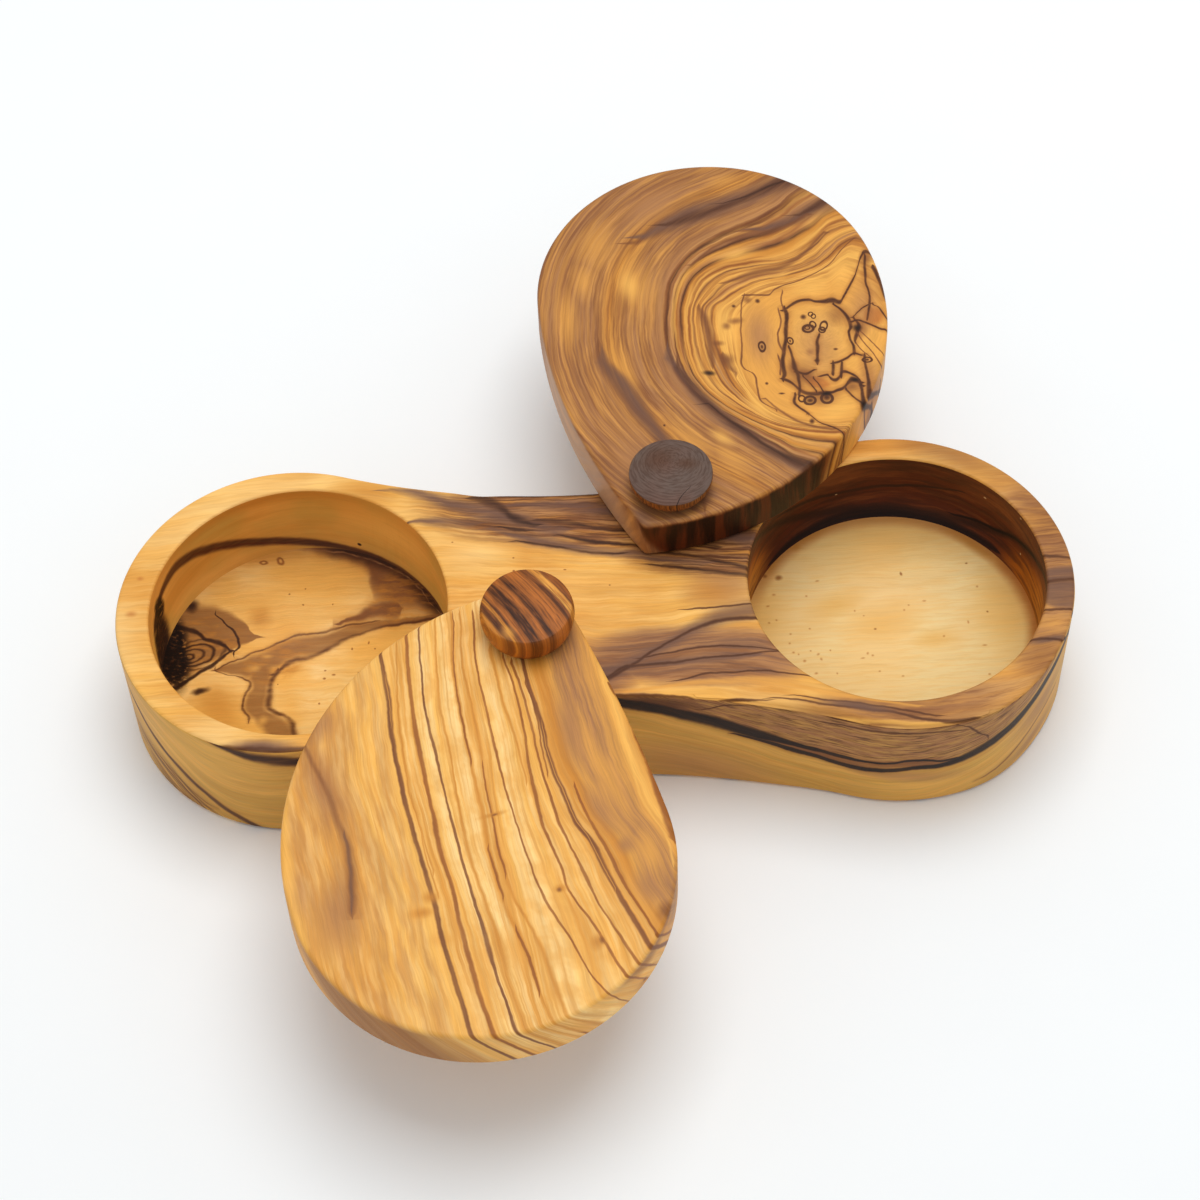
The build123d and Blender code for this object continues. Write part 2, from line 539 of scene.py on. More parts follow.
@dataclass(frozen=True, kw_only=True)
class Bands(Mark):
    """Stripes across the growth layers: the layer in mm where each tone is reached."""

    stops: tuple[tuple[float, Tone], ...]
    shift: float = 0.8

    # A ramp holds 32 stops at most
    CHUNK = 24
    # The noise that shifts the stripes: its width and length in mm, its octaves and seed
    SHIFTS = (3.0, 30.0, 2.0, 11.0)

    def paint(self, canvas: Canvas) -> None:
        """Lay the stripes over the colour so far.

        Args:
            canvas: the material being painted.
        """
        add = canvas.add
        stray = add("Math", canvas.noise(*self.SHIFTS), 0.5, operation="SUBTRACT")
        layer = add("Math", stray, self.shift * 2, canvas.layer, operation="MULTIPLY_ADD")
        painted = None
        for i in range(0, len(self.stops) - 1, self.CHUNK):
            part = self.stops[i:i + self.CHUNK + 1]
            first, last = part[0][0], part[-1][0]
            share = add("MapRange", layer, first, last)
            ramp = add("ValToRGB", share, stops=[
                ((at - first) / (last - first), stain(tone)) for at, tone in part
            ])
            if painted is None:
                painted = ramp
            else:
                later = add("Math", layer, first, operation="GREATER_THAN")
                painted = add("Mix", later, painted, ramp, data_type="RGBA")
        canvas.colour = add("Mix", self.depth, canvas.colour, painted, data_type="RGBA")


@dataclass(frozen=True)
class OliveWood:
    """Olive wood, sanded and oiled: a satin surface with fine fibres, small pores and a strong figure.

    The oil gives the eye deep, warm colour with a soft sheen; the fibres break that sheen up along
    the grain, and the sanding leaves no gloss.
    """

    name: str
    ground: Tone
    mottle: Tone
    low: Pair
    high: Pair
    flow: Flow
    marks: tuple[Mark, ...] = ()
    mapped: bool = False
    lean: Pair = (0.0, 0.0)
    top: float = 0.0
    wobble: float = 0.5
    # Real fibres are some 0.02 mm wide, too fine to show, so they are drawn as coarse as a pixel
    fibre: Pair = (0.3, 9.0)
    contrast: float = 0.16
    roughness: Pair = (0.40, 0.56)
    sheen: float = 0.22
    relief: float = 0.05

    # Patches of the ground: their noise's scale per mm, octaves and roughness, and their two levels
    PATCHES = (1 / 22, 2.0, 0.55)
    PATCH_LEVELS = (0.35, 0.65)
    # The octaves and seeds of the fibres and of a softer grain, and how much wider and longer that one is
    FIBRES = (2.0, 5.0)
    SOFT_GRAIN = (2.0, 8.0)
    WIDER = 5
    LONGER = 3
    # The levels that the two together and the fibres alone lie between, and the oil's refractive index
    GRAIN_LEVELS = (0.6, 1.4)
    FIBRE_LEVELS = (0.3, 0.7)
    OIL = 1.46

    def make(self) -> bpy.types.Material:
        """Paint the material.

        Returns:
            The finished material.
        """
        canvas = Canvas(self.name, self.low, self.high)
        add = canvas.add
        canvas.locate(self.mapped, self.lean, self.top, self.wobble, self.flow)
        clouds = add("TexNoise", canvas.place, *self.PATCHES)
        share = add("MapRange", clouds, *self.PATCH_LEVELS, interpolation_type="SMOOTHSTEP")
        canvas.colour = add("Mix", share, stain(self.ground), stain(self.mottle), data_type="RGBA")
        for mark in self.marks:
            mark.paint(canvas)
        fibres = canvas.noise(*self.fibre, *self.FIBRES)
        soft_grain = canvas.noise(self.fibre[0] * self.WIDER, self.fibre[1] * self.LONGER, *self.SOFT_GRAIN)
        mixed = add("Math", fibres, soft_grain, operation="ADD")
        value = add("MapRange", mixed, *self.GRAIN_LEVELS, 1 - self.contrast, 1 + self.contrast)
        toned = add("HueSaturation", 0.5, 1.0, value, 1.0, add("Gamma", canvas.colour, EVEN))
        rough = add("MapRange", fibres, *self.FIBRE_LEVELS, *self.roughness)
        bump = add("Bump", 1.0, self.relief * MM, None, fibres)
        surface = add("BsdfPrincipled", toned, 0.0, rough, self.OIL, None, bump)
        surface.node.inputs["Specular IOR Level"].default_value = self.sheen
        add("OutputMaterial", surface)
        return canvas.material


def corner(first: Vector, second: Vector, from_first: float, from_second: float, side: int) -> Vector:
    """The point at two given distances from two points.

    Args:
        first: the first point.
        second: the second point.
        from_first: the distance from the first.
        from_second: the distance from the second.
        side: 1 for the point on the left of the way from first to second, -1 for the right.

    Returns:
        That point.
    """
    base = second - first
    along = (base.length ** 2 + from_first ** 2 - from_second ** 2) / (2 * base.length)
    across = math.sqrt(from_first ** 2 - along ** 2)
    way = base.normalized()
    return first + way * along + Vector((-way.y, way.x)) * (side * across)


def reach(centre: Vector, radius: float, towards: Vector) -> Vector:
    """The point of a circle that lies towards another point, or away from it for a radius below 0."""
    return centre + (towards - centre).normalized() * radius


@dataclass(frozen=True)
class Arc:
    """A stretch of outline: its circle's centre, its two ends and whether it turns anticlockwise."""

    centre: Vector
    start: Vector
    end: Vector
    left: bool = True

    @property
    def radius(self) -> float:
        """The circle's radius."""
        return (self.start - self.centre).length

    @property
    def turn(self) -> float:
        """How far it turns, in radians, below 0 for clockwise."""
        swept = self.bearing(self.end) - self.bearing(self.start)
        return swept % math.tau if self.left else -(-swept % math.tau)

    def bearing(self, point: Vector) -> float:
        """The direction of a point from the centre, in radians."""
        return math.atan2(point.y - self.centre.y, point.x - self.centre.x)


class Outline:
    """A closed outline of arcs, walked anticlockwise."""

    STEP = 1.0
    LEAST_STEPS = 3
    # How far, in radians, a point may lie before an arc and still count as beside its start
    SLACK = 0.2

    def __init__(self, arcs: list[Arc]) -> None:
        """Keep the arcs and the length before each.

        Args:
            arcs: the arcs, each starting where the last ends.
        """
        self.arcs = arcs
        lengths = [abs(arc.turn) * arc.radius for arc in arcs]
        self.starts = [sum(lengths[:i]) for i in range(len(lengths))]
        self.length = sum(lengths)

    def trace(self, bm: BMesh, height: float) -> None:
        """Spin a point along every arc, which leaves a closed ring of edges.

        Args:
            bm: the mesh to draw in.
            height: the ring's height.
        """
        start = self.arcs[0].start
        tip = bm.verts.new((start.x, start.y, height))
        for arc in self.arcs:
            steps = max(self.LEAST_STEPS, round(abs(arc.turn) * arc.radius / self.STEP))
            made = bmesh.ops.spin(
                bm, geom=[tip], cent=(*arc.centre, height), axis=(0, 0, 1), dvec=(0, 0, 0),
                angle=arc.turn, steps=steps, use_merge=False, use_duplicate=False,
            )
            tip = made["geom_last"][0]
        bmesh.ops.remove_doubles(bm, verts=bm.verts[:], dist=WELD)

    def locate(self, point: Vector) -> tuple[float, float, Vector]:
        """Find the place of a point beside the outline.

        Args:
            point: the point, in plan.

        Returns:
            The length along the outline, the distance inside it and the outward direction there.
        """
        found = None
        for arc, start in zip(self.arcs, self.starts):
            swept = arc.bearing(point) - arc.bearing(arc.start)
            sign = 1 if arc.left else -1
            swept = (swept * sign + self.SLACK) % math.tau - self.SLACK
            swept = min(max(swept, 0.0), abs(arc.turn))
            spoke = point - arc.centre
            inside = (arc.radius - spoke.length) * sign
            foot = arc.centre + Matrix.Rotation(swept * sign, 2) @ (arc.start - arc.centre)
            gap = (point - foot).length
            if found is None or gap < found[0]:
                found = (gap, start + swept * arc.radius, inside, spoke.normalized() * sign)
        return found[1:]


def flat(vector: Vector) -> Vector:
    """A point's plan."""
    return Vector((vector.x, vector.y))


def ring_of(bm: BMesh, centre: Vector, radius: float, height: float, steps: int) -> list:
    """Draw a circle of edges.

    Args:
        bm: the mesh to draw in.
        centre: its centre in plan.
        radius: its radius.
        height: its height.
        steps: how many edges it has.

    Returns:
        Its edges.
    """
    place = Matrix.Translation((centre.x, centre.y, height))
    verts = bmesh.ops.create_circle(bm, segments=steps, radius=radius, matrix=place)["verts"]
    return list({edge for vert in verts for edge in vert.link_edges})


def sink(bm: BMesh, edges: list, depth: float) -> None:
    """Draw a wall down from a ring of edges and close it with a floor.

    Args:
        bm: the mesh.
        edges: the ring.
        depth: how far down the floor is.
    """
    made = bmesh.ops.extrude_edge_only(bm, edges=edges)["geom"]
    low = [item for item in made if isinstance(item, bmesh.types.BMVert)]
    bmesh.ops.translate(bm, verts=low, vec=(0, 0, -depth))
    floor = [e for e in made if isinstance(e, bmesh.types.BMEdge) and all(v in low for v in e.verts)]
    bmesh.ops.contextual_create(bm, geom=floor)


def ease(bm: BMesh, edges: list, radius: float) -> None:
    """Round edges over."""
    bmesh.ops.bevel(bm, geom=edges, offset=radius, offset_type="OFFSET", segments=EASE_STEPS, profile=0.5,
                    affect="EDGES", material=-1, clamp_overlap=False)


def hem(bm: BMesh, height: float, width: float) -> None:
    """Draw a narrow flat ring inside each edge of a level face, so that the rounding ends there."""
    level = [f for f in bm.faces if abs(f.normal.z) > LEVEL]
    faces = [f for f in level if abs(f.calc_center_median().z - height) < NOTHING]
    bmesh.ops.inset_region(bm, faces=faces, thickness=width, use_even_offset=True, use_boundary=True)


def finish(bm: BMesh, name: str, materials: list[bpy.types.Material]) -> bpy.types.Object:
    """Turn a mesh drawn in mm into a piece.

    Args:
        bm: the mesh, which is freed.
        name: the piece's name.
        materials: its materials, in the order of its faces' numbers.

    Returns:
        The piece.
    """
    bmesh.ops.scale(bm, vec=(MM, MM, MM), verts=bm.verts[:])
    for face in bm.faces:
        face.smooth = True
    mesh = bpy.data.meshes.new(name)
    bm.to_mesh(mesh)
    bm.free()
    for material in materials:
        mesh.materials.append(material)
    piece = bpy.data.objects.new(name, mesh)
    bpy.context.scene.collection.objects.link(piece)
    return piece


class Face(Enum):
    """The surfaces of the box, each with its own figure."""

    TOP = 0
    SIDE = 1
    LEFT_WALL = 2
    LEFT_FLOOR = 3
    RIGHT_WALL = 4
    RIGHT_FLOOR = 5


@dataclass(frozen=True)
class BoxBody:
    """The block: its outline, wells and pivot holes."""

    height: float = 36.5
    left_end: Pair = (-77.9, 0.5)
    left_radius: float = 43.3
    right_end: Pair = (74.7, -0.6)
    right_radius: float = 45.0
    waist_radius: float = 193.0
    well_x: float = 75.3
    well_radius: float = 37.5
    well_depth: float = 25.0
    pivots: tuple[Pair, ...] = ((-17.6, -18.6), (19.9, 22.4))
    hole_radius: float = 4.0
    hole_depth: float = 20.0
    rim_edge: float = 1.0
    foot_edge: float = 1.4
    well_edge: float = 0.8
    hem_width: float = 0.4
    well_steps: int = 240
    hole_steps: int = 40
    # How far outside a well, and how far inside the outline, a face still belongs to it
    wall_slack: float = 0.3
    side_slack: float = 5.0
    # What the sanding left, each as its size, its place along the outline and its half length, in mm
    full_corner: tuple[float, float, float] = (1.4, 247, 16)
    flat_beside_it: tuple[float, float, float] = (0.8, 206, 14)
    back_dip: tuple[float, float, float] = (0.5, 470, 5)
    drawn_in_foot: tuple[float, float, float] = (1.7, 242, 34)
    facet: tuple[float, float, float] = (2.3, 206, 18)
    facet_drop: float = 0.35
    facet_least: float = 0.3
    facet_depth: float = 1.2
    # Where the rim's rounding ends on top, where the ring there goes and how far apart the next two go
    rounded: float = 0.9
    first_ring: float = 0.7
    ring_gap: float = 0.5
    # How far in from the outline it reached, and how far it kept from the wells and the pivots
    sanded_width: float = 6.0
    well_margin: float = 1.5
    pivot_margin: float = 2.0

    def outline(self) -> Outline:
        """The waisted outline, from the far left round the front.

        Returns:
            The outline.
        """
        left, right, waist = Vector(self.left_end), Vector(self.right_end), self.waist_radius
        reaches = waist + self.left_radius, waist + self.right_radius
        back = corner(left, right, *reaches, 1)
        front = corner(left, right, *reaches, -1)
        tip = left - Vector((self.left_radius, 0))
        joints = [reach(left, self.left_radius, front), reach(right, self.right_radius, front),
                  reach(right, self.right_radius, back), reach(left, self.left_radius, back)]
        return Outline([
            Arc(left, tip, joints[0]),
            Arc(front, joints[0], joints[1], left=False),
            Arc(right, joints[1], joints[2]),
            Arc(back, joints[2], joints[3], left=False),
            Arc(left, joints[3], tip),
        ])

    def build(self) -> bpy.types.Object:
        """Model the block.

        Returns:
            The piece.
        """
        outline = self.outline()
        bm = bmesh.new()
        outline.trace(bm, self.height)
        rim = bm.edges[:]
        wells = [
            ring_of(bm, Vector((x, 0)), self.well_radius, self.height, self.well_steps)
            for x in (-self.well_x, self.well_x)
        ]
        holes = [ring_of(bm, Vector(p), self.hole_radius, self.height, self.hole_steps) for p in self.pivots]
        bmesh.ops.triangle_fill(bm, use_beauty=True, edges=bm.edges[:], normal=(0, 0, 1))
        sink(bm, rim, self.height)
        for edges in wells:
            sink(bm, edges, self.well_depth)
        for edges in holes:
            sink(bm, edges, self.hole_depth)
        bmesh.ops.recalc_face_normals(bm, faces=bm.faces[:])
        self.ease_edges(bm, outline)
        hem(bm, self.height, self.hem_width)
        hem(bm, self.height, self.hem_width)
        hem(bm, 0.0, self.hem_width)
        self.mark_faces(bm, outline)
        self.shape_by_hand(bm, outline)
        return finish(bm, "box_block", [figure.make() for figure in BODY_FIGURES])

    def ease_edges(self, bm: BMesh, outline: Outline) -> None:
        """Round the rim, the foot and the wells' upper edges.

        Args:
            bm: the mesh.
            outline: the outline.
        """
        groups = {self.rim_edge: [], self.foot_edge: [], self.well_edge: []}
        for edge in bm.edges:
            if edge.calc_face_angle(0.0) < SHARP:
                continue
            middle = (edge.verts[0].co + edge.verts[1].co) / 2
            outer = outline.locate(flat(middle))[1] < NEAR
            if outer:
                groups[self.rim_edge if middle.z > NEAR else self.foot_edge].append(edge)
            elif middle.z > self.height - NEAR and self.well_at(middle, NEAR):
                groups[self.well_edge].append(edge)
        for radius, edges in groups.items():
            ease(bm, edges, radius)

    def well_at(self, point: Vector, slack: float) -> int:
        """Find which well a point is in.

        Args:
            point: the point.
            slack: how far outside the well it may be, in mm.

        Returns:
            -1 for the left well, 1 for the right or 0 for neither.
        """
        for side in (-1, 1):
            if (flat(point) - Vector((side * self.well_x, 0))).length < self.well_radius + slack:
                return side
        return 0

    def mark_faces(self, bm: BMesh, outline: Outline) -> None:
        """Number each face by its surface and map the upright ones by length and height.

        Args:
            bm: the mesh.
            outline: the outline.
        """
        layer = bm.loops.layers.uv.new(WOOD_MAP)
        for face in bm.faces:
            middle = face.calc_center_median()
            side = self.well_at(middle, self.wall_slack)
            upright = abs(face.normal.z) < UPRIGHT
            if side and middle.z < self.height - self.well_edge / 2 - NEAR:
                walls, floors = (Face.LEFT_WALL, Face.RIGHT_WALL), (Face.LEFT_FLOOR, Face.RIGHT_FLOOR)
                face.material_index = (walls if upright else floors)[side > 0].value
                centre = Vector((side * self.well_x, 0))
                whole = math.tau * self.well_radius

                def length_at(point: Vector) -> float:
                    """The length round the well, clockwise from 20 degrees in front of its left."""
                    spoke = flat(point) - centre
                    return (math.atan2(-spoke.x, -spoke.y) % math.tau - WELL_SEAM) * self.well_radius
            elif upright and outline.locate(flat(middle))[1] < self.side_slack:
                face.material_index = Face.SIDE.value
                whole = outline.length

                def length_at(point: Vector) -> float:
                    """The length round the outline, below 0 from the middle of the back on."""
                    return (outline.locate(flat(point))[0] + whole - SIDE_SEAM) % whole - whole + SIDE_SEAM
            else:
                face.material_index = Face.TOP.value
                continue
            here = length_at(middle)
            for loop in face.loops:
                there = length_at(loop.vert.co)
                there = here + (there - here + whole / 2) % whole - whole / 2
                loop[layer].uv = (there * MM, loop.vert.co.z * MM)

    def shape_by_hand(self, bm: BMesh, outline: Outline) -> None:
        """Give the machined form what the sanding left: a fuller corner, a drawn-in foot, a sanded facet.

        Args:
            bm: the mesh.
            outline: the outline.
        """
        for vert in bm.verts:
            place = flat(vert.co)
            bored = [(place - Vector(p)).length < self.hole_radius + self.pivot_margin for p in self.pivots]
            if self.well_at(place, self.well_margin) or vert.co.z < 0 or any(bored):
                continue
            along, inside, outward = outline.locate(place)
            if inside > self.sanded_width:
                continue
            low = 1 - vert.co.z / self.height
            fuller = hump(along, *self.full_corner)
            less = hump(along, *self.flat_beside_it) + hump(along, *self.back_dip)
            shift = outward * (fuller - less - low ** 1.5 * hump(along, *self.drawn_in_foot))
            size, middle, width = self.facet
            facet = size * hump(along, 1.0, middle, width) ** 0.5
            if vert.co.z > self.height - self.facet_depth and facet > self.facet_least:
                if inside > self.rounded:
                    ring = min(2, int((inside - self.rounded) / self.hem_width))
                    inward = (self.first_ring, facet, facet + self.ring_gap)[ring]
                    shift += outward * (inside - inward)
                if inside < self.facet_depth:
                    vert.co.z -= self.facet_drop * facet
            vert.co.x += shift.x
            vert.co.y += shift.y


def hump(value: float, size: float, middle: float, width: float) -> float:
    """A smooth hump: its size at its middle and next to nothing two widths away."""
    return size * math.exp(-((value - middle) / width) ** 2)


@dataclass(frozen=True)
class Lid:
    """A teardrop lid: a round end, two long flanks and a rounded tip, turning about its pivot."""

    name: str
    centre: Pair
    radius: float
    tip: Pair
    flanks: Pair
    pivot: Pair
    figure: OliveWood
    body: str
    tip_radius: float = 2.0
    hole_radius: float = 4.05
    hole_steps: int = 48
    # How far from the hole an edge is eased
    hole_margin: float = 1.0
    edge: float = 1.1
    hem_width: float = 0.4

    def outline(self) -> Outline:
        """The teardrop.

        Returns:
            The outline.
        """
        centre, tip = Vector(self.centre), Vector(self.tip)
        bends = [corner(centre, tip, f - self.radius, f, side) for f, side in zip(self.flanks, (1, -1))]
        leaves = [reach(centre, -self.radius, bend) for bend in bends]
        bulb = corner(bends[0], bends[1], *(f - self.tip_radius for f in self.flanks), self.tip_side(bends))
        ends = [reach(bulb, -self.tip_radius, bend) for bend in bends]
        return Outline([
            Arc(bends[0], leaves[0], ends[0]),
            Arc(bulb, ends[0], ends[1]),
            Arc(bends[1], ends[1], leaves[1]),
            Arc(centre, leaves[1], leaves[0]),
        ])

    def tip_side(self, bends: list[Vector]) -> int:
        """Which side of the way from one bend's centre to the other the tip lies on."""
        way, spoke = bends[1] - bends[0], Vector(self.tip) - bends[0]
        return 1 if way.x * spoke.y - way.y * spoke.x > 0 else -1

    def build(self) -> bpy.types.Object:
        """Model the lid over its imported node.

        Returns:
            The piece.
        """
        low, high = (end.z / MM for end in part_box(self.name))
        outline = self.outline()
        bm = bmesh.new()
        outline.trace(bm, low)
        ring_of(bm, Vector(self.pivot), self.hole_radius, low, self.hole_steps)
        bmesh.ops.triangle_fill(bm, use_beauty=True, edges=bm.edges[:], normal=(0, 0, 1))
        made = bmesh.ops.extrude_face_region(bm, geom=bm.faces[:])["geom"]
        risen = [item for item in made if isinstance(item, bmesh.types.BMVert)]
        bmesh.ops.translate(bm, verts=risen, vec=(0, 0, high - low))
        bmesh.ops.recalc_face_normals(bm, faces=bm.faces[:])
        pivot, clear = Vector(self.pivot), self.hole_radius + self.hole_margin
        sharp = [
            e for e in bm.edges
            if e.calc_face_angle(0.0) > SHARP and (flat(e.verts[0].co) - pivot).length > clear
        ]
        ease(bm, sharp, self.edge)
        hem(bm, high, self.hem_width)
        hem(bm, low, self.hem_width)
        piece = finish(bm, self.name + "_board", [self.figure.make()])
        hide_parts(self.name)
        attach(piece, self.body)
        return piece


def arc_points(start: Vector, way: Vector, end: Vector, count: int) -> list[Vector]:
    """Points of the arc that leaves one point in a given direction and ends at another.

    Args:
        start: where it starts.
        way: its direction there.
        end: where it ends.
        count: how many points come after the start.

    Returns:
        The points after the start.
    """
    chord = end - start
    way = way.normalized()
    normal = Vector((-way.y, way.x))
    across = chord.dot(normal)
    if abs(across) < NOTHING:
        return [start + chord * i / count for i in range(1, count + 1)]
    radius = chord.length_squared / (2 * across)
    centre = start + normal * radius
    swept = 2 * math.atan2(across, chord.dot(way))
    return [centre + Matrix.Rotation(swept * i / count, 2) @ (start - centre) for i in range(1, count + 1)]


@dataclass(frozen=True)
class Knob:
    """A turned knob: its half profile is spun about the pivot."""

    name: str
    pivot: Pair
    figure: OliveWood
    base_radius: float
    radius: float
    face_radius: float
    widest: float
    edge_height: float
    height: float
    bore_radius: float = 4.0
    bore_depth: float = 4.0
    # The arris: its share of the crown's first step and its height; then the bore's bevel
    arris: Pair = (0.12, 0.02)
    bore_bevel: float = 0.4
    # The steps of the flank, of the curve over it, of the crown and round the axis
    flank_steps: int = 8
    over_steps: int = 6
    crown_steps: int = 12
    steps: int = 96

    def profile(self) -> list[Vector]:
        """The half profile from the bore over the foot, flank and face to the middle.

        Returns:
            Its points: distance from the pivot and height.
        """
        foot = Vector((self.base_radius, 0.0))
        wide = Vector((self.radius, self.widest))
        shoulder = Vector((self.face_radius, self.edge_height))
        middle = Vector((0.0, self.height))
        flank = arc_points(wide, Vector((0, -1)), foot, self.flank_steps)[::-1]
        over = arc_points(wide, Vector((0, 1)), shoulder, self.over_steps)
        crown = arc_points(middle, Vector((1, 0)), shoulder, self.crown_steps)[:-1][::-1]
        arris = shoulder.lerp(crown[0], self.arris[0]) + Vector((0.0, self.arris[1]))
        bore = [Vector((0.0, self.bore_depth)), Vector((self.bore_radius, self.bore_depth)),
                Vector((self.bore_radius, 0.0)), foot - Vector((self.bore_bevel, 0.0))]
        return bore + flank + [wide] + over + [arris] + crown + [middle]

    def build(self) -> bpy.types.Object:
        """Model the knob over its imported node.

        Returns:
            The piece.
        """
        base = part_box(self.name)[0].z / MM
        x, y = self.pivot
        bm = bmesh.new()
        verts = [bm.verts.new((x + p.x, y, base + p.y)) for p in self.profile()]
        edges = [bm.edges.new(pair) for pair in zip(verts, verts[1:])]
        bmesh.ops.spin(bm, geom=verts + edges, cent=(x, y, 0), axis=(0, 0, 1), dvec=(0, 0, 0),
                       angle=math.tau, steps=self.steps, use_merge=True, use_duplicate=False)
        bmesh.ops.remove_doubles(bm, verts=bm.verts[:], dist=NOTHING)
        bmesh.ops.recalc_face_normals(bm, faces=bm.faces[:])
        piece = finish(bm, self.name + "_turning", [self.figure.make()])
        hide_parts(self.name)
        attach(piece, "base")
        return piece


@dataclass(frozen=True)
class Studio:
    """The plain room: a pale floor, one soft lamp, even light from all round and the camera."""

    lens: float = 91.5
    sensor: float = 36.0
    camera: tuple[float, float, float] = (-6.823, -447.417, 657.462)
    azimuth: float = -0.936468
    elevation: float = 54.375541
    roll: float = -2.362458
    lamp_place: tuple[float, float, float] = (120, 260, 1400)
    lamp_size: float = 1000
    lamp_power: float = 10.9
    room_light: float = 0.60
    floor_half: float = 4000
    paper_grain: float = 30.0
    paper_shades: Pair = (0.95, 0.97)
    paper_tint: tuple[float, float, float] = (0.972, 1.0, 1.01)

    def build(self) -> None:
        """Set up the floor, the lamp, the world and the camera."""
        self.lay_floor()
        self.hang_lamp("overhead", self.lamp_place, self.lamp_size, self.lamp_power)
        self.light_world(self.room_light)
        self.place_camera()
        bpy.context.scene.view_settings.view_transform = "Standard"

    def lay_floor(self) -> None:
        """Lay a wide matt floor under the box."""
        bm = bmesh.new()
        bmesh.ops.create_grid(bm, x_segments=2, y_segments=2, size=self.floor_half)
        floor = finish(bm, "studio_floor", [self.paper()])

    def paper(self) -> bpy.types.Material:
        """Make matt white paper, which gives the eye nothing but the shadow.

        Returns:
            The material.
        """
        canvas = Canvas("matt white paper", (0, 0), (1, 1))
        grain = canvas.add("TexNoise", canvas.add("TexCoord").node.outputs["Object"], self.paper_grain)
        shade = canvas.add("MapRange", grain, 0.0, 1.0, *self.paper_shades)
        channels = [canvas.add("Math", shade, share, operation="MULTIPLY") for share in self.paper_tint]
        tint = canvas.add("CombineColor", *channels)
        canvas.add("OutputMaterial", canvas.add("BsdfDiffuse", tint))
        return canvas.material

    def hang_lamp(self, name: str, place: tuple[float, float, float], size: float, power: float) -> None:
        """Hang a soft square lamp that faces the box.

        Args:
            name: its name.
            place: where it hangs, in mm.
            size: its side, in mm.
            power: its power in watts.
        """
        lamp = bpy.data.lights.new(name, "AREA")
        lamp.size = size * MM
        lamp.energy = power
        holder = bpy.data.objects.new(name, lamp)
        holder.location = Vector(place) * MM
        holder.rotation_euler = (-Vector(place)).to_track_quat("-Z", "Y").to_euler()
        bpy.context.scene.collection.objects.link(holder)

    def light_world(self, strength: float) -> None:
        """Fill the room with even white light.

        Args:
            strength: how strong it is.
        """
        world = bpy.data.worlds.new("studio")
        world.use_nodes = True
        world.node_tree.nodes["Background"].inputs["Color"].default_value = (1, 1, 1, 1)
        world.node_tree.nodes["Background"].inputs["Strength"].default_value = strength
        bpy.context.scene.world = world

    def place_camera(self) -> None:
        """Set the camera where the photograph was taken from."""
        az, el, roll = (math.radians(v) for v in (self.azimuth, self.elevation, self.roll))
        back = Vector((math.sin(az) * math.cos(el), -math.cos(az) * math.cos(el), math.sin(el)))
        right = Vector((math.cos(az), math.sin(az), 0))
        up = back.cross(right)
        turned = right * math.cos(roll) + up * math.sin(roll)
        data = bpy.data.cameras.new("camera")
        data.lens, data.sensor_width = self.lens, self.sensor
        holder = bpy.data.objects.new("camera", data)
        axes = Matrix((turned, back.cross(turned), back)).transposed()
        holder.matrix_world = Matrix.Translation(Vector(self.camera) * MM) @ axes.to_4x4()
        bpy.context.scene.collection.objects.link(holder)
        bpy.context.scene.camera = holder


# The figures call the tones by their own names
(PALE, CREAM, HONEY, GOLD, OLIVE, AMBER, ORANGE, EMBER, TAN, BARK, RUSSET, BROWN, MAUVE, ASH, CHESTNUT, UMBER,
 DARK, BLACK, BEECH, ROSE) = Tone

STRAIGHT_X = Flow(Course.ALONG_X, ((0, ((-130, 0), (130, 0))),))

TOP_FLOW = Flow(Course.ALONG_X, (
    (-31, ((-122, -30), (-60, -32), (0, -31.5), (10, -31.8), (25, -33), (40, -36.5), (55, -39.5), (75, -42.5),
           (95, -41), (122, -32))),
    (-20, ((-122, -20), (-40, -17), (-5, -18), (0, -19.5), (10, -19), (25, -17), (38, -18), (60, -24),
           (90, -26), (122, -22))),
    (-10, ((-122, -10), (-30, -7), (-10, -8), (0, -9.5), (15, -10), (25, -8.5), (38, -8), (122, -9))),
    (0, ((-122, 0), (-38, 2), (-10, 1), (10, 0), (38, 0), (122, -1))),
    (10, ((-122, 10), (-60, 14), (-40, 14), (-25, 12), (-10, 10), (5, 8.5), (20, 7), (38, 4), (60, 3),
          (122, 4))),
    (20, ((-122, 20), (-60, 26), (-45, 26), (-30, 23.5), (-15, 21), (0, 18.5), (10, 17), (25, 14), (40, 12),
          (60, 12), (122, 14))),
    (32, ((-122, 34), (-90, 38), (-60, 38.5), (-45, 34), (-30, 31.5), (0, 31), (20, 32), (60, 34),
          (122, 34))),
))
BACK_WAIST = Spots(soft=0.5, ovals=((-4, 24, 48, 13, -8), (30, 12, 30, 11, -6)))
FRONT_WAIST = Spots(soft=0.5, ovals=((24, -21, 36, 10.5, -4), (-10, -25, 24, 8)))
RIGHT_RIM = Spots(soft=0.6, ovals=((113, -2, 22, 50), (78, -38, 40, 9, 4)))
EYE = (-105.5, 4.5)

